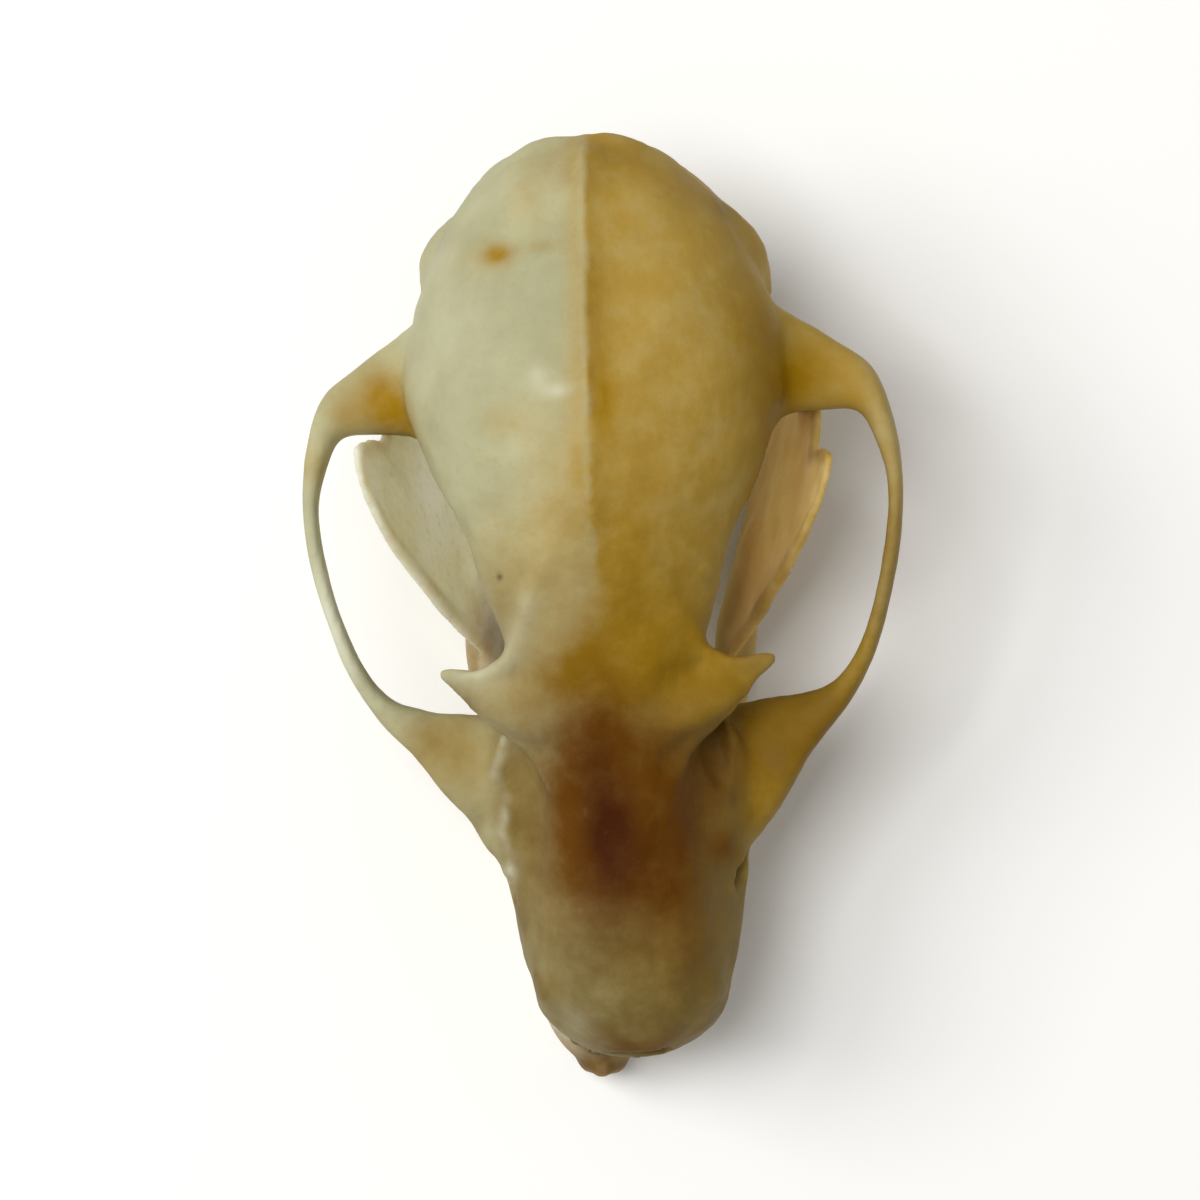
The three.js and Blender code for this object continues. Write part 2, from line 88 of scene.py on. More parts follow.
# Powers of the sine and cosine in the cranium's section, where it is round and where it is square, the
# shares of its height between which it changes its width, and the share of height left at its round ends.
ROOF_POWERS = (0.98, 0.72)
FLOOR_POWERS = (0.7, 0.72)
SIDE_POWERS = (0.92, 0.7)
WIDTH_CHANGE = (0.3, 0.8)
END_HEIGHT = 0.5

# The power that draws the oval section of a flat bone towards a square.
SQUARISH = 0.8

# Flat bones by their two edges seen from above, the height of their middle and their half depth.
CHEEK_ARCH = np.array([
    # outer x, outer y, inner x, inner y, z, up
    (5.4, 10.4, 5.2, 5.8, 3.9, 1.3),
    (6.6, 9.6, 6.4, 6.1, 3.95, 1.05),
    (8.1, 8.55, 7.9, 6.2, 4.05, 0.85),
    (9.35, 7.55, 8.8, 6.1, 4.2, 0.8),
    (9.97, 5.8, 9.3, 5.2, 4.4, 0.8),
    (10.18, 3.8, 9.66, 3.8, 4.5, 0.7),
    (10.05, 2, 9.55, 2.1, 4.5, 0.6),
    (9.62, 0, 9.12, 0.15, 4.3, 0.6),
    (8.97, -2, 8.46, -1.7, 3.85, 0.65),
    (8.1, -3.55, 7.6, -2.85, 3.35, 0.7),
    (6.9, -5, 6.5, -3.3, 2.95, 0.8),
    (5.7, -6.6, 5.4, -3.45, 2.6, 0.9),
    (4.5, -8.3, 4.2, -3.6, 2.35, 1),
    (3, -9, 3, -3.8, 2.3, 1),
])
ORBIT_PROCESS = np.array([
    # outer x, outer y, inner x, inner y, z, up
    (2, -4.6, 2, -2.3, 6.15, 0.7),
    (3.2, -4.15, 3.2, -2.2, 6.25, 0.5),
    (3.9, -3.75, 3.9, -2.1, 6.2, 0.42),
    (4.5, -3.3, 4.5, -1.95, 6.12, 0.36),
    (5, -2.85, 5, -1.85, 6, 0.3),
    (5.4, -2.45, 5.4, -1.82, 5.92, 0.22),
    (5.8, -2.1, 5.8, -1.88, 5.85, 0.14),
])

# Ridges as bars: place of the middle, half width across and half height.
NUCHAL_CREST = np.array([
    # x, y, z, side, up
    (-0.7, 15.4, 6.6, 0.35, 0.6),
    (1.1, 15.35, 6.5, 0.4, 0.6),
    (2.6, 14.5, 5.8, 0.42, 0.6),
    (3.85, 13.4, 4.9, 0.45, 0.7),
    (5, 12.3, 3.9, 0.62, 0.9),
    (5.4, 11.4, 2.8, 0.6, 1),
    (5.5, 10.1, 1.8, 0.55, 0.7),
])
ORBIT_RIM = np.array([
    (3.5, -3.9, 4, 0.2, 0.4),
    (3.95, -4.8, 3.6, 0.24, 0.4),
    (4.2, -5.6, 3.4, 0.2, 0.4),
    (3.85, -6.5, 3.35, 0.28, 0.42),
    (4.1, -7.5, 3.25, 0.2, 0.4),
    (3.8, -8.4, 3.1, 0.3, 0.42),
    (3.95, -9.1, 2.85, 0.34, 0.45),
])
EYE_EDGE = np.array([
    (4.9, -2.95, 5.9, 0.1, 0.16),
    (4.1, -3.6, 5.75, 0.2, 0.3),
    (3.3, -4.15, 5.55, 0.3, 0.42),
    (2.6, -4.8, 5.55, 0.32, 0.45),
    (1.9, -6.3, 5.85, 0.26, 0.3),
])
BROW_LINE = np.array([
    (4.9, -2.15, 6.3, 0.16, 0.2),
    (4.1, -2.1, 6.4, 0.22, 0.3),
    (3.35, -1.7, 6.5, 0.25, 0.35),
    (2.9, -0.9, 7, 0.25, 0.32),
    (2.35, 0.2, 7.9, 0.25, 0.28),
    (1.5, 1.8, 8.85, 0.25, 0.25),
    (0.6, 3.6, 9.55, 0.2, 0.2),
])
WING_BONE = np.array([
    (1.75, -2.6, 0.9, 0.3, 0.7),
    (1.8, -0.4, 0.9, 0.22, 0.85),
    (1.95, 1.6, 0.75, 0.22, 0.85),
    (2.2, 3, 0.35, 0.24, 0.35),
])
CREST_TALL = np.array([
    # y, height over the roof
    (15.3, -0.25),
    (14.6, 0.35),
    (13.2, 0.55),
    (10.6, 0.55),
    (8, 0.48),
    (5.4, 0.4),
    (3, 0.28),
    (0.8, 0.05),
    (-0.6, -0.2),
])
CREST_HALF = 0.6
CREST_BLADE = {"side": 0.2, "lowered": 0.06}
CREST_FOOT = {"side": 0.75, "lowered": 0.3}

# Lumps as eggs: place, half sizes and turn in degrees.
CRANIUM_LUMPS = {
    "floor of the eye socket": ([3.1, -6.3, 3.3], [1, 2.9, 1], (0, 0, 4)),
    "knuckle of the neck": ([1.75, 14.3, 2], [0.8, 1.25, 1.2], (-25, 0, 0)),
    "point beside the knuckle": ([3.5, 13, 2.05], [0.5, 0.75, 1.1], (-20, 0, 0)),
    "lump behind the ear": ([5.1, 11.5, 2.6], [0.7, 1.3, 1.5], NO_TURN),
    "root of the canine tooth": ([2.5, -13, 2], [0.85, 1.1, 2.1], (-12, 0, 0)),
}
JAW_LUMPS = {
    "chin": ([0.35, -15.05, 1.65], [0.8, 1.65, 1.15], (14, 0, 0)),
    "tip of the chin": ([0, -15.9, 1.95], [0.55, 0.85, 0.7], NO_TURN),
    "knuckle of the jaw": ([6.7, 7.6, 7.15], [1.45, 0.55, 0.5], (0, 0, 8)),
    "neck of the knuckle": ([7, 7.3, 6.3], [0.5, 0.65, 1.1], (15, 0, 0)),
}

# Hollows as eggs pressed in: sides, place, half sizes, the way they are pressed and turn in degrees.
CORE_HOLLOWS = {
    "eye socket": (BOTH_SIDES, [4.15, -3.9, 4.6], [1.5, 2, 1.2], (-1, 0, 0), (0, 0, -14)),
    "ear": (BOTH_SIDES, [3.7, 9.3, 0.3], [1.7, 2.1, 0.8], (0, 0, 1), (0, -15, 0)),
}
OPENINGS = {
    "bearing of the jaw": (BOTH_SIDES, [6.4, 7.4, 2.4], [1.6, 1, 0.7], (0, 0, 1), NO_TURN),
    "hole under the eye": (BOTH_SIDES, [4.05, -9.4, 2.6], [0.5, 1.2, 0.4], (-0.6, 0.8, 0), (0, 0, 25)),
    "oval hollow before the left eye": (ONCE, [3.5, -5.2, 4.5], [0.6, 1.5, 0.75], (0, 0, -1), (0, 0, 6)),
    "pit over the eye": (BOTH_SIDES, [3.3, 1.1, 7.85], [0.13, 0.16, 0.3], (0, 0, -1), NO_TURN),
    "opening for the spinal cord": (ONCE, [0, 15.5, 2.5], [1.7, 2.7, 1.55], (0, -1, 0.2), (-20, 0, 0)),
    "palate": (ONCE, [0, -6.6, -0.55], [2.5, 7.4, 1.35], (0, 0, 1), NO_TURN),
    "throat": (ONCE, [0, 1.4, 0.6], [1.45, 4.4, 1.9], (0, 0, 1), NO_TURN),
    "nose": (ONCE, [0, -15.7, 2.15], [1.15, 2.5, 0.85], (0, 1, 0.05), NO_TURN),
}

# The ring bone of the ear: place, turn in degrees, half width and half length, half thickness at its ends
# and what its middle adds, and how much taller than thick its section is.
EAR_RING_PLACE = [3.8, 9.3, 0.74]
EAR_RING_TURN = (0, -22, 0)
EAR_RING_HALVES = (1.15, 1.32)
EAR_RING_ENDS = 0.24
EAR_RING_MIDDLE = 0.18
EAR_RING_TALLER = 1.15

# Lower jaw: the body of one side from the chin to the ramus, and the plate of the ramus by its height.
JAW_BODY = np.array([
    # x, y, z, side, up
    (0.25, -16.35, 2.1, 0.42, 0.55),
    (0.7, -15.4, 1.95, 0.7, 0.95),
    (1.2, -14.3, 1.7, 0.9, 1.2),
    (1.55, -13.2, 1.45, 0.8, 1.45),
    (2.05, -11.8, 1.35, 0.65, 1.5),
    (2.6, -9.7, 1.4, 0.6, 1.4),
    (3.2, -7.2, 1.5, 0.65, 1.3),
    (3.85, -4.8, 1.65, 0.68, 1.3),
    (4.35, -2.4, 1.85, 0.72, 1.35),
    (4.5, -0.6, 2, 0.72, 1.4),
    (4.75, 1.3, 2.1, 0.5, 1.45),
    (5.15, 3.4, 2.1, 0.28, 1.2),
])
RAMUS = {
    "z": (-0.15, 0.9, 2.4, 4.2, 6, 7.4, 8.3, 9.1, 10.4, 11.5, 12.1),
    "front": (2.6, 0.4, -1.8, -1.6, -0.75, 0, 0.45, 0.9, 1.85, 3.1, 3.7),
    "back": (7, 8.1, 8.4, 8.1, 7.6, 7.2, 6.5, 5.6, 5.5, 5.3, 4.95),
    "thick": (0.3, 0.42, 0.42, 0.4, 0.38, 0.35, 0.33, 0.31, 0.29, 0.27, 0.22),
}
JAW_EDGE = np.array([
    # the rolled front edge of the plate
    (4.3, -1, 2.9, 0.3, 0.36),
    (4.78, -1, 4.6, 0.28, 0.3),
    (5.28, -0.45, 6.1, 0.26, 0.28),
    (5.83, 0.4, 7.8, 0.24, 0.26),
    (6.48, 1.45, 9.4, 0.22, 0.24),
    (7.16, 2.6, 10.9, 0.2, 0.22),
    (7.55, 3.6, 11.6, 0.18, 0.2),
])
JAW_BASE = np.array([
    # the thick lower border, down to the angle at the back
    (4.15, -3.4, 1.2, 0.45, 0.7),
    (4.35, -1.4, 0.95, 0.46, 0.75),
    (4.5, 0.4, 0.75, 0.46, 0.65),
    (4.8, 2.2, 0.6, 0.44, 0.5),
    (5.2, 4.4, 0.45, 0.4, 0.42),
    (5.65, 6.4, 0.5, 0.38, 0.42),
    (6, 7.6, 0.95, 0.36, 0.4),
    (6.15, 7.9, 1.8, 0.3, 0.4),
])

# The plate stands at this x and y on the floor, leans outwards by a share of z and flares by a share of y.
# Its middle keeps a share of the half thickness, its edges add another, its top and foot are rounded, and a
# power flattens its faces.
RAMUS_X = 4.85
RAMUS_Y = 4.0
RAMUS_LEAN = 0.245
RAMUS_FLARE = 0.23
RAMUS_MIDDLE = 0.52
RAMUS_EDGES = 0.4
RAMUS_ROUND = 0.5
RAMUS_FLAT = 0.6

# The height that the foot of the unfinished jaw is lifted to, so that smoothing leaves flats on the floor.
JAW_LEVEL = 0.02

# Teeth: place, length along the row, width and height of the crown, and how far its tip hooks backwards.
UPPER_TEETH = np.array([
    (0.45, -15.15, 0.45, 0.6, 0.8, 0),
    (1.15, -14.85, 0.45, 0.6, 0.8, 0),
    (2.45, -13.2, 1.6, 1.25, 2.7, 0.5),
    (2.8, -11.8, 0.6, 0.55, 0.45, 0),
    (3.05, -10.4, 1.9, 1.15, 1.6, 0),
    (3.4, -8.15, 2, 1.3, 1.15, 0),
    (3.65, -5.75, 2.3, 1.35, 0.85, 0),
])
LOWER_TEETH = np.array([
    (0.28, -15.6, 0.5, 0.6, 0.3, 0),
    (0.78, -15.3, 0.5, 0.6, 0.35, 0),
    (1.25, -14.6, 1.05, 0.95, 1.9, 0.35),
    (1.8, -13.4, 0.75, 0.65, 0.6, 0),
    (2.15, -11.9, 1.5, 0.95, 1.3, 0),
    (2.6, -9.9, 1.8, 1.1, 0.95, 0),
    (3.1, -7.7, 1.9, 1.15, 0.75, 0),
    (3.5, -5.9, 1.2, 1, 0.6, 0),
])
ROOT = 0.75

# Rings of a tooth from the root to the tip, by shares of the way: the width of each as a share of the
# crown's, on a tall tooth and on a low one, and the heights of the last four as shares of the crown's. A
# tooth is tall from this height over its length on.
RING_SHARES = (0, 0.2, 0.34, 0.5, 0.72, 0.86, 1)
TALL_RINGS = (0.3, 0.82, 0.93, 1, 0.6, 0.3, 0)
LOW_RINGS = (0.3, 0.84, 0.94, 1.02, 0.95, 0.7, 0)
CROWN_RISE = (0.3, 0.72, 0.93, 1)
TALL_FROM = 1.1

# Shares of its height that a low crown loses in its groove, in its notch and towards the back.
GROOVE_DEPTH = 0.3
NOTCH_DEPTH = 0.2
BACK_FALL = 0.22

# Colours of dry bone and teeth, as shares of red, green and blue light given back.
IVORY = (0.365, 0.357, 0.212)
CREAM = (0.45, 0.443, 0.275)
# The jaw's two ground tones are far lighter than the cranium's. This is painted light that makes up for the
# shade the plates lie in, in the hollows between the braincase and the cheek arches.
JAW_DARK_PAINTED_LIT = (0.86, 0.86, 0.68)
JAW_LIGHT_PAINTED_LIT = (0.92, 0.93, 0.78)
# Colours laid over the ground where the masks lie. Most are stains. The pale one is a painted highlight and
# the dusk one is painted shade. The gold and amber ones are partly stains and partly painted shade of the
# side turned away from the key light.
STAINS_AND_PAINTED_LIGHT = {
    "gold_and_shade": (0.41, 0.27, 0.052),
    "honey": (0.26, 0.15, 0.008),
    "ochre": (0.3, 0.165, 0.001),
    "amber_and_shade": (0.8, 0.54, 0.16),
    "taupe": (0.175, 0.12, 0.03),
    "brown": (0.12, 0.043, 0.0006),
    "umber": (0.055, 0.012, 0.0003),
    "pale_highlight": (0.62, 0.62, 0.47),
    "dusk_shade": (0.1, 0.065, 0.02),
}
ENAMEL = (0.6, 0.52, 0.31)
TARTAR = (0.17, 0.1, 0.02)


def mix(a, b, t):
    """a at 0, b at 1 and the straight line between them."""
    return a + (b - a) * t


def ease(a, b, v):
    """0 up to a, 1 from b on and the smooth cubic between them."""
    t = np.clip((v - a) / (b - a), 0, 1)
    return t * t * (3 - 2 * t)


def power(v, e):
    """The size of v to a power, with the sign of v."""
    return np.sign(v) * np.abs(v) ** e


def unit(v):
    """Vectors over their lengths."""
    return v / np.linalg.norm(v, axis=-1, keepdims=True)


def rounded(distance, length):
    """0 on a round end and 1 from the given length on: the height of a quarter circle."""
    return np.sqrt(np.clip(1 - np.maximum(0, 1 - distance / length) ** 2, 0, 1))


def curve(places, values, at):
    """The smooth curve through values given at rising places: between two places, the cubic that leaves and
    reaches them with the slope of the chord between their neighbours."""
    places = np.asarray(places, float)
    values = np.asarray(values, float)
    before = np.maximum(np.arange(len(places)) - 1, 0)
    after = np.minimum(np.arange(len(places)) + 1, len(places) - 1)
    width = places[after] - places[before]
    slope = (values[after] - values[before]) / width.reshape(-1, *[1] * (values.ndim - 1))
    i = np.clip(np.searchsorted(places, at, side="right") - 1, 0, len(places) - 2)
    step = places[i + 1] - places[i]
    t = np.clip((at - places[i]) / step, 0, 1)
    if values.ndim > 1:
        step = step[..., None]
        t = t[..., None]
    return (
        (2 * t**3 - 3 * t**2 + 1) * values[i]
        + (t**3 - 2 * t**2 + t) * step * slope[i]
        + (3 * t**2 - 2 * t**3) * values[i + 1]
        + (t**3 - t**2) * step * slope[i + 1]
    )


def along(table, key, across, at):
    """One column of a table read at places along another column."""
    order = np.argsort(table[across])
    return curve(np.array(table[across], float)[order], np.array(table[key], float)[order], at)


def path(stations, share, places=3):
    """Points on the smooth curve through the stations, at shares of the way. It is measured along the chords
    between the stations, by as many of their first columns as hold a place."""
    steps = np.linalg.norm(np.diff(stations[:, :places], axis=0), axis=1)
    travelled = np.concatenate([[0], np.cumsum(steps)])
    return curve(travelled, stations, share * travelled[-1])


def circle(sides):
    """Angles once round, evenly spaced."""
    return np.linspace(0, 2 * np.pi, sides, endpoint=False)


def stacked(x, y, z):
    """Points from three arrays that are spread to one shape."""
    return np.stack(np.broadcast_arrays(x, y, z), -1)


def joined(shapes):
    """Several shapes, each points and faces, as one."""
    starts = np.cumsum([0] + [len(points) for points, _ in shapes])
    points = np.concatenate([points for points, _ in shapes])
    faces = np.concatenate([shape_faces + start for (_, shape_faces), start in zip(shapes, starts)])
    return points, faces


def skin(rings):
    """A closed skin over rings of points in an array (rows, sides, 3), with each end ring drawn together on
    its middle. Returns points and triangles, turned outwards."""
    rows, sides = rings.shape[:2]
    inner = rings[1:-1].reshape(-1, 3)
    points = np.concatenate([[rings[0].mean(0)], inner, [rings[-1].mean(0)]])
    here = np.arange(sides)
    there = (here + 1) % sides
    row = 1 + sides * np.arange(rows - 3)[:, None]
    a, b, c, d = row + here, row + sides + here, row + sides + there, row + there
    last = 1 + sides * (rows - 3)
    walls = np.stack([a, b, c, a, c, d], -1).reshape(-1, 3)
    first_cap = np.stack([0 * here, 1 + here, 1 + there], -1)
    last_cap = np.stack([0 * here + len(points) - 1, last + there, last + here], -1)
    return outwards(points, np.concatenate([walls, first_cap, last_cap]))


def outwards(points, faces):
    """The same faces turned so that the volume they enclose is above zero."""
    a, b, c = (points[faces[:, k]] for k in range(3))
    volume = (np.cross(a, b) * c).sum()
    return points, faces if volume > 0 else faces[:, ::-1]


def mirrored(shape, side):
    """A shape drawn for the animal's left, on the side given as 1 for left and -1 for right."""
    points, faces = shape
    return outwards(points * [side, 1, 1], faces)


def both(shape):
    return [mirrored(shape, side) for side in BOTH_SIDES]


def turned(points, angles):
    """Points turned about x, y and z by angles in degrees, in the order z, y, x."""
    x, y, z = np.radians(angles)
    about_x = np.array([[1, 0, 0], [0, math.cos(x), -math.sin(x)], [0, math.sin(x), math.cos(x)]])
    about_y = np.array([[math.cos(y), 0, math.sin(y)], [0, 1, 0], [-math.sin(y), 0, math.cos(y)]])
    about_z = np.array([[math.cos(z), -math.sin(z), 0], [math.sin(z), math.cos(z), 0], [0, 0, 1]])
    return points @ (about_x @ about_y @ about_z).T


def lump(place, halves, turn=NO_TURN, rows=24, sides=36):
    """An egg: the unit sphere by latitude and longitude, stretched by half sizes, turned and placed."""
    polar = np.linspace(0, np.pi, rows)[:, None]
    around = circle(sides)
    ball = stacked(np.sin(polar) * np.cos(around), np.sin(polar) * np.sin(around), np.cos(polar))
    return skin(turned(ball * halves, turn) + place)


def strap(stations, rows, sides, tip=0.05):
    """A flat bone: at each share of the way an oval section spans from the inner to the outer edge, its half
    depth upright, with both coordinates of the circle drawn towards a square by a power."""
    share = np.linspace(0, 1, rows)
    both_edges = path(stations, share, 2)
    outer, inner = both_edges[:, 0:2], both_edges[:, 2:4]
    z, up = both_edges[:, 4:5], both_edges[:, 5:6]
    close = rounded(np.minimum(share, 1 - share), tip)[:, None]
    angle = circle(sides)
    across = power(np.cos(angle), SQUARISH) * close
    middle = (outer + inner) / 2
    reach = (outer - inner) / 2
    return skin(stacked(
        middle[:, 0:1] + reach[:, 0:1] * across,
        middle[:, 1:2] + reach[:, 1:2] * across,
        z + up * power(np.sin(angle), SQUARISH) * close,
    ))


def ovals(centre, side, across, up, upright, sides):
    """A ring about each point of a path: an oval with half sizes along the directions across and upright."""
    angle = circle(sides)[None, :, None]
    wide = side[:, None] * np.cos(angle) * across[:, None]
    return centre[:, None] + wide + up[:, None] * np.sin(angle) * upright[:, None]


def bar(stations, rows=60, sides=20, tip=0.06):
    """A bar: an oval section carried along the path through the stations, square to it, with its half sizes
    across and upright, closing at both ends as a quarter circle."""
    share = np.linspace(0, 1, rows)
    at = path(stations, share)
    centre, side, up = at[:, :3], at[:, 3:4], at[:, 4:5]
    ahead = np.gradient(centre, axis=0)
    across = unit(stacked(-ahead[:, 1], ahead[:, 0], 0))
    upright = unit(np.cross(ahead, across))
    close = rounded(np.minimum(share, 1 - share), tip)[:, None]
    return skin(ovals(centre, side * close, across, up * close, upright, sides))


def core_shell(rows=220, sides=160):
    """The cranium without ridges and arches. Along y, the section is x = half * close * cos(a) ** m and
    z = waist + reach * tall * sin(a) ** n, where half passes from the low to the high width with the height,
    reach is up to the roof or down to the floor, m and n are lower where the section is square, and close
    and tall fall at the round ends."""
    y = np.linspace(CORE["y"][0], CORE["y"][-1], rows)[:, None]
    angle = circle(sides)
    high, low, roof, waist, floor, square = (
        along(CORE, key, "y", y) for key in ("high", "low", "roof", "waist", "floor", "square")
    )
    close = rounded(CORE["y"][0] - y, NAPE_ROUND) * rounded(y - CORE["y"][-1], SNOUT_ROUND)
    s = np.sin(angle)
    bend = np.where(s > 0, mix(*ROOF_POWERS, square), mix(*FLOOR_POWERS, square))
    reach = np.where(s > 0, roof - waist, waist - floor)
    tall = mix(END_HEIGHT, 1, close)
    z = waist + reach * tall * power(s, bend)
    half = mix(low, high, ease(*WIDTH_CHANGE, (z - floor) / (roof - floor)))
    x = half * close * power(np.cos(angle), mix(*SIDE_POWERS, square))
    return skin(stacked(x, y, z))


def crest_x(y):
    """The crest bends a little to the animal's left towards the nape."""
    return 0.24 * ease(3, 12, y)


def sagittal_crest(side, lowered):
    """The blade along the roof, or the wider foot under it: a bar of one half width whose top stands over
    the roof by its height, less the length it is lowered by, and which sinks into the roof in front."""
    y, tall = CREST_TALL.T
    z = along(CORE, "roof", "y", y) + tall - CREST_HALF - lowered
    half_width = np.full(len(y), side)
    half_height = np.full(len(y), CREST_HALF)
    return bar(np.stack([crest_x(y), y, z, half_width, half_height], -1), rows=120, sides=20)


def ramus_plate(rows=90, sides=64):
    """The plate of the lower jaw: at each height a thin section from the front to the back edge, leaning
    outwards with height and flaring with y, thinner in its middle than at its rolled edges."""
    z = np.linspace(RAMUS["z"][0], RAMUS["z"][-1], rows)[:, None]
    front, back, thick = (along(RAMUS, key, "z", z) for key in ("front", "back", "thick"))
    close = rounded(z - RAMUS["z"][0], RAMUS_ROUND) * rounded(RAMUS["z"][-1] - z, RAMUS_ROUND)
    angle = circle(sides)
    chord = power(np.cos(angle), SQUARISH)
    y = (front + back) / 2 + (back - front) / 2 * close * chord
    hollow = RAMUS_MIDDLE + RAMUS_EDGES * np.abs(chord) ** 3
    x = RAMUS_X + RAMUS_LEAN * z + RAMUS_FLARE * (y - RAMUS_Y)
    x = x + thick * close * hollow * power(np.sin(angle), RAMUS_FLAT)
    return skin(stacked(x, y, z))


def worn_crown(side, ahead, share):
    """How far the top of a low crown lies under its full height, as a share of it: a groove along its
    middle, a notch across and a fall towards the back, each only near the top."""
    groove = GROOVE_DEPTH * np.exp(-((side / 0.3) ** 2))
    notch = NOTCH_DEPTH * np.exp(-(((ahead - 0.1) / 0.22) ** 2))
    fall = BACK_FALL * ease(-0.4, 0.8, ahead)
    return ease(0.6, 0.95, share) * (groove + notch + fall)


def tooth(place, down, rows=30, sides=32):
    """A tooth: rings from the root over the wall to the middle of the crown. A tall tooth is a cone whose
    tip hooks backwards with the square of the height. A low one has a worn crown."""
    x, y, long, wide, tall, hook = place
    share = np.linspace(0, 1, rows)[:, None]
    angle = circle(sides)
    is_tall = tall / long > TALL_FROM
    grow = np.interp(share, RING_SHARES, TALL_RINGS if is_tall else LOW_RINGS)
    heights = np.concatenate([(-ROOT, -ROOT / 3, 0), tall * np.array(CROWN_RISE)])
    height = np.interp(share, RING_SHARES, heights)
    side = np.cos(angle) * grow
    ahead = np.sin(angle) * grow
    if not is_tall:
        height = height - tall * worn_crown(side, ahead, share)
    back = hook * np.clip(height / tall, 0, 1) ** 2
    return skin(stacked(x + side * wide / 2, y + ahead * long / 2 + back, -height if down else height))


def ear_ring(rows=90, sides=24):
    """The ring bone of the ear: a horseshoe, its section thickest in the middle and closing at both ends."""
    turn = np.radians(np.linspace(-60, 240, rows))
    share = np.linspace(0, 1, rows)
    half_wide, half_long = EAR_RING_HALVES
    centre = stacked(half_wide * np.cos(turn), half_long * np.sin(turn), 0)
    close = rounded(np.minimum(share, 1 - share), 0.1)[:, None]
    size = (EAR_RING_ENDS + EAR_RING_MIDDLE * np.sin(np.pi * share))[:, None] * close
    upright = np.array([[0, 0, 1]])
    rings = ovals(centre, size, unit(centre), size * EAR_RING_TALLER, upright, sides)
    return skin(turned(rings, EAR_RING_TURN) + EAR_RING_PLACE)


class Surface:
    """Points, square faces and edges of a remeshed skin, with what is worked out from them."""

    def __init__(self, shapes, voxel):
        """Joins closed shapes, each points and faces, and wraps them in one even skin of small squares."""
        mesh = bpy.data.meshes.new("rough")
        fill_mesh(mesh, *joined(shapes))
        rough = in_scene("rough", mesh)
        remesh = rough.modifiers.new("even", "REMESH")
        remesh.mode = "VOXEL"
        remesh.voxel_size = voxel
        graph = bpy.context.evaluated_depsgraph_get()
        even = bpy.data.meshes.new_from_object(rough.evaluated_get(graph))
        self.points = read(even.vertices, "co", 3)
        self.faces = read(even.loops, "vertex_index", 1, int).reshape(-1, 4)
        self.edges = read(even.edges, "vertices", 2, int)
        bpy.data.objects.remove(rough)
        bpy.data.meshes.remove(mesh)
        bpy.data.meshes.remove(even)
        ends = np.concatenate([self.edges[:, 0], self.edges[:, 1]])
        self.count = np.bincount(ends, minlength=len(self.points))[:, None]

    def normals(self):
        """The normal at each point: the sum of its faces' normals, each the cross product of diagonals."""
        corner = self.points[self.faces]
        face = np.cross(corner[:, 2] - corner[:, 0], corner[:, 3] - corner[:, 1])
        total = gathered(self.faces.T.ravel(), np.tile(face, (4, 1)), len(self.points))
        return total / np.maximum(np.linalg.norm(total, axis=1), NO_LENGTH)[:, None]

    def pull(self):
        """For each point, the mean of its neighbours less its own place."""
        a, b = self.edges.T
        ends = np.concatenate([a, b])
        neighbours = np.concatenate([self.points[b], self.points[a]])
        return gathered(ends, neighbours, len(self.points)) / self.count - self.points

    def hollow(self):
        """How far each point lies in a hollow: the part of its pull along its normal, negative on ridges."""
        return (self.pull() * self.normals()).sum(1)

    def fill_creases(self, rounds):
        """Fills sharp hollows between joined forms: points move out along their normals by a share of how
        far they lie in a hollow, again and again."""
        for _ in range(rounds):
            normal = self.normals()
            rise = (self.pull() * normal).sum(1)
            self.points += FILL_SHARE * normal * np.maximum(rise, 0)[:, None]

    def smooth(self, rounds):
        """Evens out the surface and keeps its size: a step along the pull, then a longer one back."""
        for _ in range(rounds):
            self.points += STEP_IN * self.pull()
            self.points -= STEP_BACK * self.pull()

    def push(self, amount):
        """Moves each point along its normal."""
        self.points += self.normals() * amount[:, None]

    def level(self, low):
        """Lifts what lies lower than a height up to it."""
        self.points[:, 2] = np.maximum(self.points[:, 2], low)

    def dent(self, place, halves, way, turn):
        """Presses an egg into the surface: each point inside it that faces against the way is moved along
        the way to the egg's far side, p + s * way with s the larger root of the egg's equation."""
        way = unit(np.array(way))
        q = turned_back(self.points - place, turn) / halves
        w = turned_back(way[None], turn)[0] / halves
        a, b, c = w @ w, q @ w, (q * q).sum(1) - 1
        inside = (c < 0) & (self.normals() @ way < DENT_FACING)
        far = (-b + np.sqrt(np.maximum(b * b - a * c, 0))) / a
        self.points[inside] += far[inside, None] * way

    def dents(self, sides, place, halves, way, turn):
        """The same dent on each of the sides given."""
        x, y, z = turn
        for side in sides:
            flip = np.array([side, 1, 1])
            self.dent(np.array(place) * flip, halves, np.array(way) * flip, (x, y * side, z * side))

    def triangles(self):
        """The skin as points and triangles, to be joined with other forms or wrapped anew."""
        return self.points, np.concatenate([self.faces[:, [0, 1, 2]], self.faces[:, [0, 2, 3]]])


def turned_back(points, angles):
    """Undoes turned()."""
    return points @ turned(np.eye(3), angles).T


def gathered(targets, values, count):
    """The sums of the rows of values that go to each target."""
    return np.stack([np.bincount(targets, values[:, k], count) for k in range(values.shape[1])], -1)


def read(collection, name, width, kind=float):
    """One property of a Blender collection as an array."""
    flat = np.empty(len(collection) * width, np.int32 if kind is int else np.float32)
    collection.foreach_get(name, flat)
    flat = flat.astype(kind)
    return flat.reshape(-1, width) if width > 1 else flat


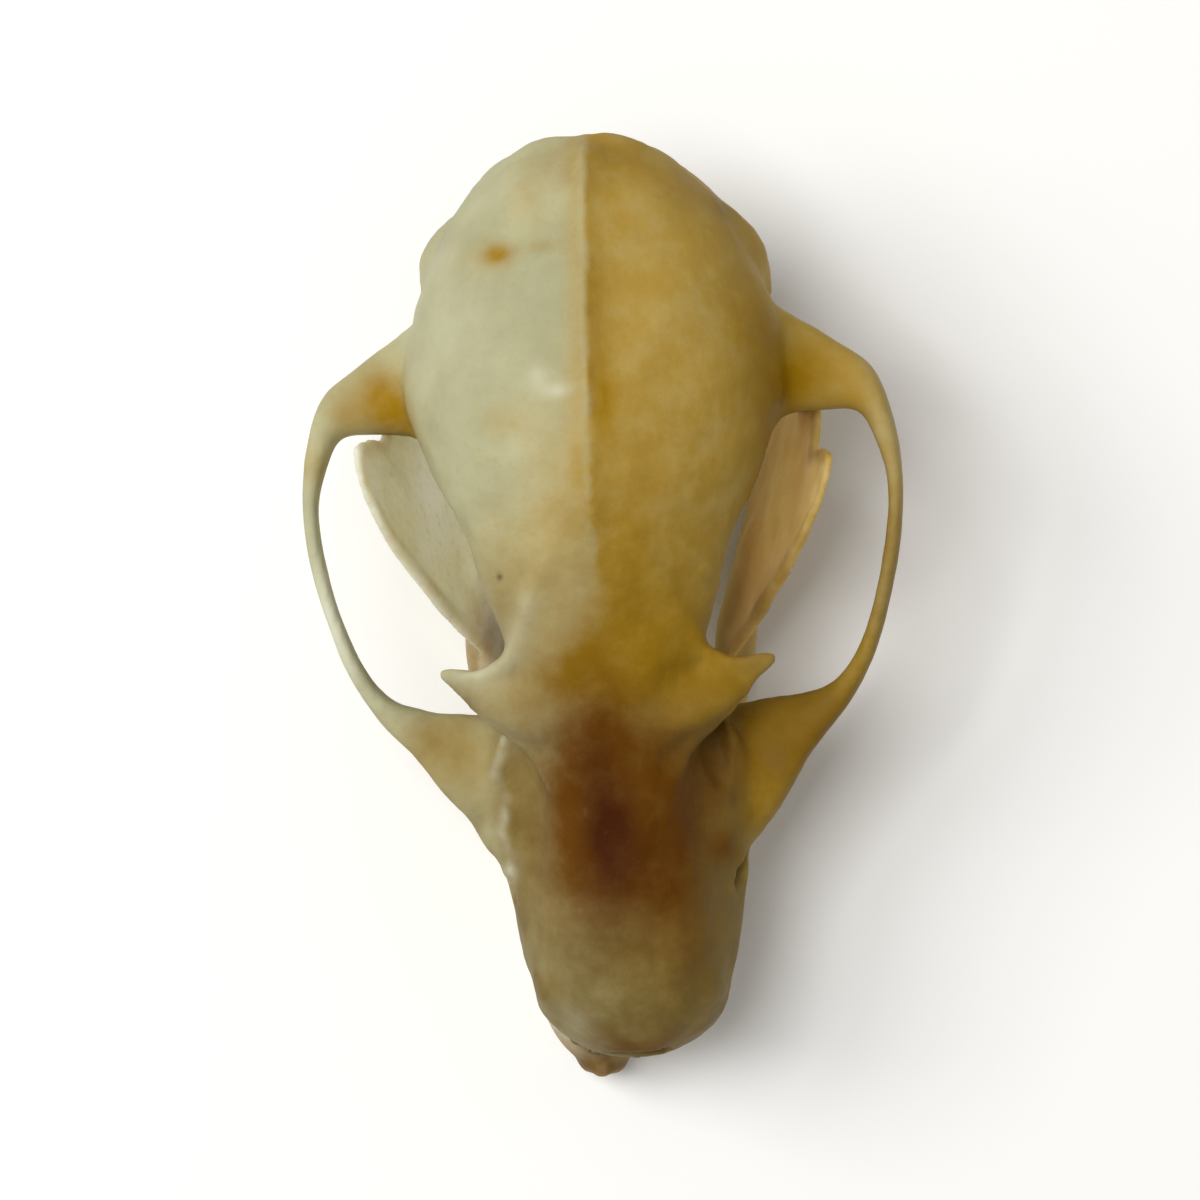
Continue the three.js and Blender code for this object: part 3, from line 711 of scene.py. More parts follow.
def fill_mesh(mesh, points, faces):
    """Puts points and faces with one number of corners into an empty mesh."""
    count, corners = faces.shape
    mesh.vertices.add(len(points))
    mesh.vertices.foreach_set("co", np.asarray(points, np.float32).ravel())
    mesh.loops.add(count * corners)
    mesh.loops.foreach_set("vertex_index", faces.astype(np.int32).ravel())
    mesh.polygons.add(count)
    mesh.polygons.foreach_set("loop_start", np.arange(0, count * corners, corners, dtype=np.int32))
    mesh.update(calc_edges=True)


def in_scene(name, data):
    """A new object that shows a mesh, camera or light."""
    obj = bpy.data.objects.new(name, data)
    bpy.context.scene.collection.objects.link(obj)
    return obj


def placed(points, turn, shift):
    """Points in the skull's frame, in metres."""
    c, s = math.cos(turn), math.sin(turn)
    return (points @ np.array([[c, s, 0], [-s, c, 0], [0, 0, 1]]) + shift) * MM


def piece(name, points, faces, material, nodes, masks):
    """A finished piece with smooth faces, its masks as attributes, on the one body of the part."""
    mesh = bpy.data.meshes.new(name)
    fill_mesh(mesh, points, faces)
    mesh.polygons.foreach_set("use_smooth", np.ones(len(faces), bool))
    for mask, values in masks.items():
        attribute = mesh.attributes.new(mask, "FLOAT", "POINT")
        attribute.data.foreach_set("value", np.clip(values, 0, 1).astype(np.float32))
    mesh.validate()
    mesh.materials.append(material)
    obj = in_scene(name, mesh)
    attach(obj, "root")
    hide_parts(*nodes)


def spots(points, places):
    """The sum of soft round spots: amount * exp(-|(p - place) / reach| ** 2), each place with its reach."""
    total = np.zeros(len(points))
    for x, y, z, reach_x, reach_y, reach_z, amount in places:
        away = ((points - [x, y, z]) / [reach_x, reach_y, reach_z]) ** 2
        total += amount * np.exp(-away.sum(1))
    return total


def core_with_hollows():
    """The core with the eye sockets and the hollows of the ears pressed in, before the ridges join it."""
    core = Surface([core_shell()], CRANIUM_VOXEL * CRANIUM_COARSER)
    for hollow in CORE_HOLLOWS.values():
        core.dents(*hollow)
    core.smooth(2)
    return core


def cranium_surface():
    """The core, ridges, arches and lumps in one skin, with its creases filled, its openings pressed in and
    its relief pushed out."""
    forms = [
        bar(NUCHAL_CREST),
        strap(CHEEK_ARCH, 150, 28),
        strap(ORBIT_PROCESS, 50, 24),
        bar(ORBIT_RIM),
        bar(EYE_EDGE),
        bar(BROW_LINE),
        bar(WING_BONE),
    ]
    forms += [lump(*egg) for egg in CRANIUM_LUMPS.values()]
    shapes = [core_with_hollows().triangles(), sagittal_crest(**CREST_BLADE), sagittal_crest(**CREST_FOOT)]
    shapes += [shape for form in forms for shape in both(form)]
    skull = Surface(shapes, CRANIUM_VOXEL * CRANIUM_COARSER)
    skull.fill_creases(45)
    for opening in OPENINGS.values():
        skull.dents(*opening)
    skull = Surface([skull.triangles()], CRANIUM_VOXEL)
    skull.smooth(6)
    skull.push(cranium_relief(skull.points))
    return skull


# Seams between the bones, seen from above on one side: x and y of points on them.
SEAMS = {
    "along the nose": np.array([(0, -14.6), (0, -11), (0.04, -8), (0, -5), (0, -3.2)]),
    "beside the nose": np.array([(1.15, -14.8), (1.0, -12), (1.15, -9), (1.5, -6.5), (1.9, -5.0)]),
    "across the back": np.array([(0, 12.2), (1.6, 12.0), (3.0, 11.6), (4.4, 10.6), (5.4, 9.6)]),
    "across the brow": np.array([(0, 0.8), (1.2, 0.6), (2.3, 1.2), (3.2, 0.5), (4.1, 0.9)]),
    "over the nose": np.array([(0, -3.2), (0.9, -3.5), (1.9, -5.0), (2.7, -5.2)]),
    "side of the snout": np.array([(2.6, -9.0), (2.2, -11.0), (2.3, -12.6), (1.9, -14.2)]),
}
SEAM_DEPTH = 0.022
SEAM_WIDTH = 0.16
SEAM_WANDER = 0.09

# Unevenness of the cranium and of its crest: height, length and seed of each set of waves.
SWELLS = ((0.04, 3.2, 1), (0.012, 1.1, 2), (0.005, 0.5, 3))
CREST_SWELLS = ((0.02, 1.6, 4), (0.012, 0.7, 5))


def near_line(points, line, width):
    """1 on a line seen from above and falling off as exp(-(d / width) ** 2), on both sides of the skull."""
    way = path(line, np.linspace(0, 1, 60), 2)
    x = np.abs(points[:, 0])
    nearest = np.full(len(points), np.inf)
    for at_x, at_y in way:
        nearest = np.minimum(nearest, (x - at_x) ** 2 + (points[:, 1] - at_y) ** 2)
    return np.exp(-nearest / width**2)


def ripple(points, length, seed, waves=16):
    """Soft unevenness about zero: the sum of cosine waves of about one length that run in chance directions,
    over the square root of their number."""
    chance = np.random.default_rng(seed)
    way = chance.normal(size=(waves, 3))
    way *= (2 * np.pi / length / np.linalg.norm(way, axis=1) * chance.uniform(0.7, 1.4, waves))[:, None]
    return np.cos(points @ way.T + chance.uniform(0, 2 * np.pi, waves)).sum(1) / math.sqrt(waves)


def swells(points, sets):
    """The sum of ripples, each with its height."""
    return sum(height * ripple(points, length, seed) for height, length, seed in sets)


def top_side(points):
    """1 on the upper half of the cranium and 0 on the lower one."""
    return ease(3.2, 4.4, points[:, 2])


def cranium_relief(points):
    """How far the surface stands out or in: swells that fade on the thin arches, a ragged crest and sunk
    seams that wander about their lines."""
    x, y, _ = points.T
    relief = swells(points, SWELLS) * mix(1, 0.3, ease(6.5, 8, np.abs(x)))
    crest = np.exp(-(((x - crest_x(y)) / 0.3) ** 2)) * ease(0, 3, y) * top_side(points)
    relief += crest * swells(points, CREST_SWELLS)
    wander = points + SEAM_WANDER * stacked(ripple(points, 1.0, 6), ripple(points, 1.0, 7), 0)
    for line in SEAMS.values():
        relief -= SEAM_DEPTH * near_line(wander, line, SEAM_WIDTH) * top_side(points)
    return relief


def jaw_surface():
    """Both halves of the jaw in one skin that stands on flats, with its creases filled and its relief pushed
    out."""
    forms = [bar(JAW_BODY, 120, 32), ramus_plate(), bar(JAW_EDGE), bar(JAW_BASE)]
    forms += [lump(*egg) for egg in JAW_LUMPS.values()]
    jaw = Surface([shape for form in forms for shape in both(form)], JAW_VOXEL * JAW_COARSER)
    jaw.fill_creases(40)
    jaw.level(JAW_LEVEL)
    jaw = Surface([jaw.triangles()], JAW_VOXEL)
    jaw.smooth(5)
    jaw.push(jaw_relief(jaw))
    jaw.level(0)
    return jaw


def outer_face(jaw):
    """1 where the jaw faces away from the middle and 0 where it faces inwards or up."""
    return ease(0.3, 0.8, jaw.normals()[:, 0] * np.sign(jaw.points[:, 0]))


# The hollow for the chewing muscle on either side: place, reach along x, y and z, and depth.
MUSCLE_HOLLOW = (6.2, 3.6, 5.2, 2.0, 2.6, 2.8, 0.16)


def jaw_relief(jaw):
    """A hollow for the chewing muscle on the outer face of each plate, and a soft unevenness all over."""
    hollows = spots(np.abs(jaw.points), [MUSCLE_HOLLOW])
    return 0.014 * ripple(jaw.points, 1.8, 12) - hollows * outer_face(jaw)


class Look:
    """A material with one bone or tooth shader and short calls for the nodes that feed it."""

    def __init__(self, name):
        self.material = bpy.data.materials.new(name)
        self.material.use_nodes = True
        self.tree = self.material.node_tree
        self.tree.nodes.clear()
        output = self.tree.nodes.new("ShaderNodeOutputMaterial")
        self.shader = self.tree.nodes.new("ShaderNodeBsdfPrincipled")
        self.tree.links.new(self.shader.outputs["BSDF"], output.inputs["Surface"])

    def node(self, kind, inputs=None):
        """A new shader node, by the end of its type's name, with what its sockets are fed."""
        node = self.tree.nodes.new("ShaderNode" + kind)
        self.feed_all(node, inputs or {})
        return node

    def feed(self, socket, value):
        """Links an output to a socket, or sets the number or colour on it."""
        if isinstance(value, bpy.types.NodeSocket):
            self.tree.links.new(value, socket)
        else:
            socket.default_value = (*value, 1) if isinstance(value, tuple) else value

    def feed_all(self, node, inputs):
        """Feeds the sockets of a node."""
        for key, value in inputs.items():
            self.feed(node.inputs[key], value)

    def set(self, name, value):
        """Feeds a socket of the bone or tooth shader."""
        self.feed(self.shader.inputs[name], value)

    def noise(self, size, detail, rough=0.55):
        """Noise in the object's own space, with lumps of about a size in millimetres."""
        place = self.node("TexCoord").outputs["Object"]
        inputs = {"Vector": place, "Scale": 1 / (size * MM), "Detail": detail, "Roughness": rough}
        return self.node("TexNoise", inputs).outputs["Fac"]

    def maths(self, kind, a, b):
        """The result of a Math node."""
        node = self.node("Math", {0: a, 1: b})
        node.operation = kind
        return node.outputs[0]

    def ranged(self, value, low, high, out_low=0.0, out_high=1.0):
        """A value that passes smoothly from one number to another between two limits."""
        limits = {"From Min": low, "From Max": high, "To Min": out_low, "To Max": out_high}
        node = self.node("MapRange", {"Value": value, **limits})
        node.interpolation_type = "SMOOTHSTEP"
        return node.outputs["Result"]

    def blend(self, amount, under, over, kind="MIX"):
        """One colour laid over another by an amount."""
        node = self.node("Mix")
        node.data_type = "RGBA"
        node.blend_type = kind
        self.feed_all(node, {0: amount, 6: under, 7: over})
        return node.outputs[2]

    def mask(self, name):
        """A mask kept on the mesh."""
        node = self.node("Attribute")
        node.attribute_name = name
        return node.outputs["Fac"]

    def uneven_mask(self, name, noise, depth=0.8):
        """A mask whose strength wanders with a noise, up to 1."""
        wander = self.maths("MULTIPLY", self.maths("SUBTRACT", noise, 0.5), depth)
        shown = self.maths("MULTIPLY", self.mask(name), self.maths("ADD", wander, 1.0))
        return self.maths("MINIMUM", shown, 1.0)

    def bump(self, height, depth, strength):
        """Fine relief of a depth in millimetres."""
        inputs = {"Height": height, "Distance": depth * MM, "Strength": strength}
        self.set("Normal", self.node("Bump", inputs).outputs["Normal"])

    def waxy(self, weight, colour_reach, depth):
        """Light that passes under the surface, to a depth in millimetres."""
        self.set("Subsurface Weight", weight)
        self.shader.inputs["Subsurface Radius"].default_value = colour_reach
        self.set("Subsurface Scale", depth * MM)


# How much rougher and smoother than its mean dry bone gets, and how glossy it is.
BONE_ROUGHER = 0.1
BONE_SMOOTHER = 0.12
BONE_GLOSS = 0.07

# Tints that darken bone in clouds and in pores.
CLOUD_TINT = (0.72, 0.66, 0.55)
PORE_TINT = (0.5, 0.4, 0.25)

# How far red, green and blue light pass under the surface, as shares of its depth.
BONE_REACH = (1.0, 0.8, 0.55)
ENAMEL_REACH = (1.0, 0.7, 0.4)


def bone(name, light, dark, roughness=0.55, glow=0.15, depth=0.5):
    """Dry bone: a ground between two tones, stains, painted highlights and painted shade where the masks
    lie, each with an uneven edge, then cloudy mottling, pores and a fine grain."""
    look = Look(name)
    broad = look.noise(size=4.5, detail=3)
    patchy = look.noise(size=1.3, detail=4, rough=0.62)
    fine = look.noise(size=0.33, detail=5, rough=0.65)
    grain = look.noise(size=0.11, detail=3, rough=0.6)
    colour = look.blend(look.ranged(broad, 0.3, 0.7), dark, light)
    colour = look.blend(look.ranged(fine, 0.5, 0.8, out_high=0.3), colour, STAINS_AND_PAINTED_LIGHT["gold_and_shade"])
    for tone_layer in STAINS_AND_PAINTED_LIGHT:
        uneven = fine if tone_layer in ("pale_highlight", "dusk_shade") else patchy
        colour = look.blend(look.uneven_mask(tone_layer, uneven), colour, STAINS_AND_PAINTED_LIGHT[tone_layer])
    clouds = look.ranged(patchy, 0.3, 0.75, out_high=0.3)
    colour = look.blend(clouds, colour, CLOUD_TINT, "MULTIPLY")
    pores = look.ranged(grain, 0.66, 0.8, out_high=0.35)
    colour = look.blend(pores, colour, PORE_TINT, "MULTIPLY")
    look.set("Base Color", colour)
    rougher = roughness + BONE_ROUGHER
    smoother = roughness - BONE_SMOOTHER
    look.set("Roughness", look.ranged(patchy, 0.25, 0.75, rougher, smoother))
    look.set("Specular IOR Level", BONE_GLOSS)
    height = look.maths("ADD", look.maths("MULTIPLY", fine, 0.8), look.maths("MULTIPLY", grain, 0.3))
    look.bump(height, depth=0.06, strength=0.4)
    look.waxy(glow, BONE_REACH, depth)
    return look.material


def enamel(name):
    """Tooth enamel: ivory crowns, brown with tartar where the mask lies, with a glossy coat."""
    look = Look(name)
    patchy = look.noise(size=0.6, detail=4)
    look.set("Base Color", look.blend(look.uneven_mask("tartar", patchy), ENAMEL, TARTAR))
    look.set("Roughness", look.ranged(patchy, 0.3, 0.7, out_low=0.24, out_high=0.4))
    look.set("Coat Weight", 0.2)
    look.bump(patchy, depth=0.03, strength=0.3)
    look.waxy(0.2, ENAMEL_REACH, depth=0.4)
    return look.material


# Stains, painted highlights and painted shade on the cranium in its own frame: place, reach along x, y and
# z, and amount.
CRANIUM_SPOTS = {
    "gold_and_shade": [
        (-1, 3.5, 9.5, 1.3, 3.5, 3, 0.5),
        (-2.8, 1, 8, 2.2, 2.4, 2.5, 0.45),
        (-3, 11.6, 7, 1.6, 0.6, 2, 0.35),
        (-2.6, 6.2, 9.5, 0.9, 0.6, 2, 0.3),
        (-1.6, 13.5, 8, 0.8, 1.2, 2, 0.35),
        (-5.6, -5, 3, 2.2, 1.6, 2, 0.6),
        (-3, -9, 4.5, 1.5, 4, 3, 0.4),
        (-7, 7.2, 4.5, 1.8, 1.6, 2, 0.5),
        (-8.6, 6.8, 4.5, 0.6, 0.8, 2, 0.4),
        (-9.6, 5.2, 4.5, 0.6, 0.9, 1.5, 0.6),
    ],
    "honey": [
        (0.8, 1.4, 9, 1.5, 3.4, 3, 0.6),
        (3, 0.4, 7.5, 2, 3, 3, 0.5),
        (0, -2.2, 7.4, 2.8, 2, 2, 1),
        (0.4, -7, 5.5, 3.6, 4.5, 2.5, 0.5),
        (-3.5, -3, 6, 1.6, 1, 1.5, 0.4),
        (4.5, -5.5, 4.5, 2.8, 3.2, 4, 0.95),
        (3, -11, 4, 1.6, 3, 3, 0.7),
        (0.8, 14.6, 6.8, 2.2, 1.2, 2, 0.7),
        (5.6, 8.6, 6.8, 1.2, 3, 2.5, 0.7),
        (5, 12.6, 5.5, 1.4, 1.4, 2.5, 0.5),
        (9.6, 0.5, 4.5, 1.2, 4.5, 2, 0.55),
        (7.4, -4, 3.4, 2, 2, 2, 0.8),
        (-3.2, -6.5, 4.5, 0.8, 2.2, 2, 0.3),
        (-4.3, -0.7, 5, 0.9, 1.1, 2, 0.6),
        (3.2, 5, 8.8, 3, 4, 3, 0.22),
        (2.9, -3.7, 5.8, 1, 1.1, 1.2, 0.4),
        (3.8, -2.6, 6.3, 1.5, 1, 1.5, 0.3),
        (-2.6, -13.3, 3.2, 0.5, 1, 2, 0.4),
    ],
    "ochre": [
        (-7.3, 7.3, 4.9, 1, 1, 1.5, 1),
        (-6.3, 6.3, 4.9, 0.9, 1, 2, 0.7),
        (7, 7.4, 4.9, 1.6, 1.3, 1.5, 0.9),
        (0.65, 6.7, 10, 0.45, 1.4, 1, 0.9),
        (0.55, 10.3, 10.2, 0.35, 1.4, 1, 0.5),
        (-2.75, 11.75, 8.8, 0.55, 0.38, 1, 1.1),
        (-1.1, 11.9, 9.4, 0.6, 0.25, 1, 0.3),
        (5.5, -4.8, 3.4, 1.8, 1.7, 1.5, 0.8),
        (2.3, -11.8, 4.6, 0.8, 1.8, 1.5, 0.3),
        (-6.2, -4.2, 3.2, 1.2, 0.8, 1.5, 0.5),
        (0.8, -2, 7.7, 2, 1.2, 1.5, 0.4),
        (3.6, -1.2, 6.6, 0.9, 0.9, 2, 0.6),
        (5.8, 7.8, 6.8, 1.1, 2.6, 2, 0.6),
    ],
    "taupe": [
        (-4.6, 12.4, 5.5, 1.2, 0.8, 2, 0.25),
        (-5.4, -2.5, 6, 0.9, 0.5, 0.8, 0.55),
        (5.4, -2.3, 5.9, 0.9, 0.5, 0.8, 0.45),
        (9.5, 0.2, 4.4, 1.2, 4, 2, 0.5),
        (-3.2, 0.6, 7.4, 1.6, 1.8, 2, 0.3),
        (7, -4.5, 3.2, 2.5, 2.2, 2, 0.35),
        (-5.8, -6, 2.8, 2, 2.2, 2, 0.3),
    ],
    "brown": [
        (-0.4, -5.6, 6.4, 1.8, 3.8, 2.5, 1.2),
        (-1.8, -8.4, 5.4, 1.3, 2.6, 2.5, 0.45),
        (2.1, -7.2, 5.6, 1.9, 3.6, 2.5, 0.75),
        (2.2, -11.8, 4.6, 0.9, 1.8, 1.5, 0.35),
        (0, -15.4, 3.2, 1.8, 1, 1.4, 0.7),
        (0.7, -9, 5.6, 2, 2.6, 2, 0.45),
        (3.6, -5.2, 4, 0.9, 1.8, 1.6, 0.45),
        (6.4, -4.8, 3.2, 2.8, 2, 2, 0.3),
        (-4, -1, 5, 0.9, 0.9, 2, 0.35),
        (4.6, -1, 4.8, 1, 0.9, 2, 0.6),
        (3.5, -8.5, 4.2, 0.5, 0.6, 1, 0.5),
        (6, 6.4, 6.8, 0.8, 1.4, 2, 0.3),
        (5.9, 9, 6.8, 0.6, 1.2, 2, 0.2),
        (3.6, 13.6, 6, 1.4, 0.9, 2, 0.2),
        (-4.8, -3.1, 6, 0.9, 0.45, 0.7, 0.5),
    ],
    "umber": [
        (-0.15, -8, 6, 0.9, 2.2, 1.4, 1.15),
        (-0.6, -5.2, 6.7, 0.8, 2, 1, 0.45),
        (1.5, -8.8, 5.7, 1, 1.6, 1, 0.35),
    ],
    # The pale spots are painted highlights on the side the key light falls on: a glint on the top of the
    # vault, glare on the edge of the arch, and lighter patches on the lit rim, snout and vault.
    "pale_highlight": [
        (-3.9, -9, 3.7, 0.3, 0.4, 0.8, 0.3),
        (-1.9, -14, 3.8, 0.6, 0.5, 1, 0.15),
        (-5, 11.9, 6.5, 1.2, 0.7, 2, 0.25),
        (-4.4, 9.4, 8, 1.6, 2, 2, 0.2),
        (-0.9, 7.1, 10.1, 0.5, 0.25, 1, 0.5),
        (-1.5, 7.6, 10.1, 0.3, 0.4, 1, 0.4),
        (-9.3, -0.2, 4.2, 0.8, 2.8, 2, 0.9),
    ],
    # The dusk spots are painted shade in the pit over the eye and in the opening for the spinal cord, with
    # two small dark spots on the arch and behind the ear.
    "dusk_shade": [
        (-9.5, 5.1, 4.5, 0.4, 0.4, 1, 0.15),
        (4.6, 13.1, 5.5, 0.5, 0.5, 1, 0.4),
        (-3.3, 1.1, 7.75, 0.12, 0.12, 1, 0.9),
        (0, 14.4, 2.4, 1.5, 1.6, 1.2, 1),
    ],
}


# Amounts of the stains, painted shade and painted highlights that follow the form of the cranium.
# The gold on the animal's left stands partly for a stain and partly for painted shade.
GOLD_AND_SHADE_LEFT = 0.95
GOLD_BY_CREST = 0.45
SHADE_IN_HOLLOWS = 0.15
HONEY_LOW = 0.4
TAUPE_LOW = 0.35
HIGHLIGHT_EDGES = 0.1
HIGHLIGHT_RIM = 0.16
HIGHLIGHT_BROW = 0.22


def add_gold_and_shade(masks, points):
    """Gold on the animal's left, partly a stain and partly painted shade of the side turned away from the
    key light, with an edge that is sharp along the crest and wide on the face and low down, less of it on
    the arch, and a band of it beside the crest."""
    x, y, z = points.T
    width = mix(2.2, 0.16, ease(-3, 2, y))
    width = mix(width, 2.0, ease(7.5, 4.5, z))
    border = crest_x(y) + 0.1
    wander = 0.06 * ripple(points, 1.5, 8)
    masks["gold_and_shade"] += GOLD_AND_SHADE_LEFT * ease(-1, 1, (x - border + wander) / width)
    masks["gold_and_shade"] *= mix(1, 0.7, ease(8.5, 9.5, x))
    band = np.exp(-(((x - border + 0.35) / 0.45) ** 2)) * ease(1, 5, y)
    masks["gold_and_shade"] += GOLD_BY_CREST * band


def add_shade_and_grime(masks, points, hollow):
    """Painted shade in the hollows of the face, taupe on the face, and patches of honey and taupe low down.
    """
    x, y, z = points.T
    masks["dusk_shade"] += SHADE_IN_HOLLOWS * ease(0.003, 0.012, hollow) * (1 - ease(1, 3, y))
    masks["taupe"] += ease(-2.6, -5.5, y) * ease(4.8, 3.7, np.abs(x)) * mix(0.75, 0.9, ease(-2, 1, x))
    low = ease(5.5, 2.5, z)
    masks["honey"] += HONEY_LOW * low * ease(0.2, 1.8, ripple(points, 2.4, 10))
    masks["taupe"] += TAUPE_LOW * low * ease(0.0, 1.6, ripple(points, 1.6, 11))


def add_painted_highlights(masks, points, hollow):
    """Painted highlights on sharp edges, on the rim of the eye socket and on the brow, all on the animal's
    right, the side the key light falls on.
    """
    x, _, z = points.T
    right_side = ease(1.0, -1.0, x)
    rim = near_line(points, ORBIT_RIM[:, :2], 0.22) * ease(5.2, 4.6, z)
    brow = near_line(points, BROW_LINE[:5, :2], 0.35)
    edges = ease(0.004, 0.016, -hollow)
    ragged = 1 + 0.8 * ripple(points, 0.8, 9)
    masks["pale_highlight"] += right_side * (HIGHLIGHT_EDGES * edges + HIGHLIGHT_RIM * rim * ragged + HIGHLIGHT_BROW * brow)


def cranium_masks(skull):
    """The stains, painted shade and painted highlights of the cranium: round spots, then what follows the
    form.
    """
    masks = {name: spots(skull.points, places) for name, places in CRANIUM_SPOTS.items()}
    masks["amber_and_shade"] = np.zeros(len(skull.points))
    hollow = skull.hollow()
    add_gold_and_shade(masks, skull.points)
    add_shade_and_grime(masks, skull.points, hollow)
    add_painted_highlights(masks, skull.points, hollow)
    return masks


# Stains on the lower jaw: place, reach along x, y and z, and amount.
CHIN_SPOTS = [(0.0, -16.2, 2.2, 1.8, 1.5, 2.0, 1.0)]
POCKET_SPOTS = [
    (4.7, -1.9, 3.4, 1.7, 2.4, 2.4, 1.3),
    (-4.6, -2, 3.2, 1.3, 1.6, 2.2, 0.6),
]


def jaw_masks(jaw):
    """The colours of the lower jaw: amber, gold and taupe on the animal's left, partly stains and partly
    painted shade of the side turned away from the key light, gold rolled edges and outer faces, brown on the
    chin and in the pockets before the plates, painted shade in its hollows and a faint painted highlight on
    the animal's right."""
    p = jaw.points
    x, y, z = p.T
    front, back = (along(RAMUS, key, "z", z) for key in ("front", "back"))
    edge = np.minimum(np.minimum(back - y, y - front), RAMUS["z"][-1] - z)
    rim = ease(0.8, 0.2, edge) * ease(4, 7, z)
    chin = spots(p, CHIN_SPOTS)
    pockets = spots(p, POCKET_SPOTS)
    # Outer faces below the knuckle get a darker, golder tone.
    outer_low_faces = outer_face(jaw) * ease(8.5, 6.5, z)
    clouded = outer_low_faces * (1 + 0.35 * ripple(p, 5.0, 13))
    # The animal's left, turned away from the key light, gets amber, gold and taupe: partly stain, partly
    # painted shade.
    left_side = ease(-2, 2, x)
    return {
        "gold_and_shade": mix(0.3, 0.75, rim) * left_side + 0.2 * rim + 0.4 * clouded,
        "honey": 0.75 * pockets + 0.12 * clouded,
        "ochre": 0.6 * pockets,
        "amber_and_shade": left_side * mix(0.85, 0.3, rim),
        "taupe": 0.9 * chin + 0.22 * ease(0, 3, x) + 0.2 * rim + 0.22 * outer_low_faces,
        "brown": 0.5 * chin + 0.25 * pockets,
        "umber": np.zeros(len(p)),
        # pale: a faint painted highlight on the animal's right, the lit side
        "pale_highlight": 0.08 * ease(0, -3, x) * (1 - np.minimum(chin + pockets, 1)),
        # dusk: painted shade in the jaw's hollows
        "dusk_shade": 0.3 * ease(0.002, 0.012, jaw.hollow()),
    }


def build_cranium(material):
    """The skin over the braincase, the face and the four pieces of the cheek arches."""
    skull = cranium_surface()
    nodes = ["braincase", "face"]
    nodes += [f"cheek_arch_{side}_{end}" for side in ("left", "right") for end in ("front", "back")]
    points = placed(skull.points, **CRANIUM_STAND)
    piece("cranium", points, skull.faces, material, nodes, cranium_masks(skull))


def build_jaw(material):
    """The skin over both halves of the jaw."""
    jaw = jaw_surface()
    points = placed(jaw.points, **JAW_STAND)
    piece("mandible", points, jaw.faces, material, JAW_NODES, jaw_masks(jaw))


def tooth_rows(rows, down, gum):
    """The teeth of both sides from the gum line on, with tartar at their necks and on the front ones."""
    points, faces = joined([shape for row in rows for shape in both(tooth(row, down))])
    from_gum = np.abs(points[:, 2])
    tartar = np.maximum(0.5 * ease(0.6, 0, from_gum), ease(-13.5, -15.5, points[:, 1]))
    return points + [0, 0, gum], faces, {"tartar": tartar}


def build_upper_teeth(material):
    points, faces, masks = tooth_rows(UPPER_TEETH, True, 0)
    piece("upper_teeth", placed(points, **CRANIUM_STAND), faces, material, ["face"], masks)


def build_lower_teeth(material):
    points, faces, masks = tooth_rows(LOWER_TEETH, False, LOWER_GUM_Z)
    piece("lower_teeth", placed(points, **JAW_STAND), faces, material, JAW_NODES, masks)


def build_ear_rings(material):
    """The two ring bones, evenly gold."""
    for side, name in zip(BOTH_SIDES, ("left", "right")):
        points, faces = mirrored(ear_ring(), side)
        masks = {tone_layer: np.zeros(len(points)) for tone_layer in STAINS_AND_PAINTED_LIGHT}
        masks["gold_and_shade"] += 0.5
        points = placed(points, **CRANIUM_STAND)
        piece(f"ear_bone_{name}", points, faces, material, [f"ear_ring_{name}"], masks)


# The floor: half its width and its height in metres, a hair under the jaw, its colour and its roughness.
FLOOR_HALF = 0.6
FLOOR_Z = -0.00001
FLOOR_COLOUR = (0.9, 0.9, 0.885)
FLOOR_ROUGHNESS = 0.8


def floor():
    """A plain pale floor that reaches past every view."""
    mesh = bpy.data.meshes.new("floor")
    corners = np.array([(-1, -1), (1, -1), (1, 1), (-1, 1)]) * FLOOR_HALF
    fill_mesh(mesh, stacked(corners[:, 0], corners[:, 1], FLOOR_Z), np.array([[0, 1, 2, 3]]))
    look = Look("pale_floor")
    look.set("Base Color", FLOOR_COLOUR)
    look.set("Roughness", FLOOR_ROUGHNESS)
    mesh.materials.append(look.material)
    in_scene("floor", mesh)


# Camera: it looks down on the skull from a little over the animal's left side. The target and the distance
# are in millimetres, and the scale of the photo is taken at the target.
CAMERA_TARGET = (-0.068, 0.519, 10.0)
CAMERA_DISTANCE = 180.0
CAMERA_TILT = math.radians(4.5)
PIXELS_PER_MM = 29.5
PHOTO_WIDTH = 1200
SENSOR = 36.0
NEAREST_SEEN = 0.01


def aimed(side, up, back, place):
    """The matrix of an object that stands at a place and looks against the way back."""
    return Matrix([(side[k], up[k], back[k], place[k]) for k in range(3)] + [(0, 0, 0, 1)])


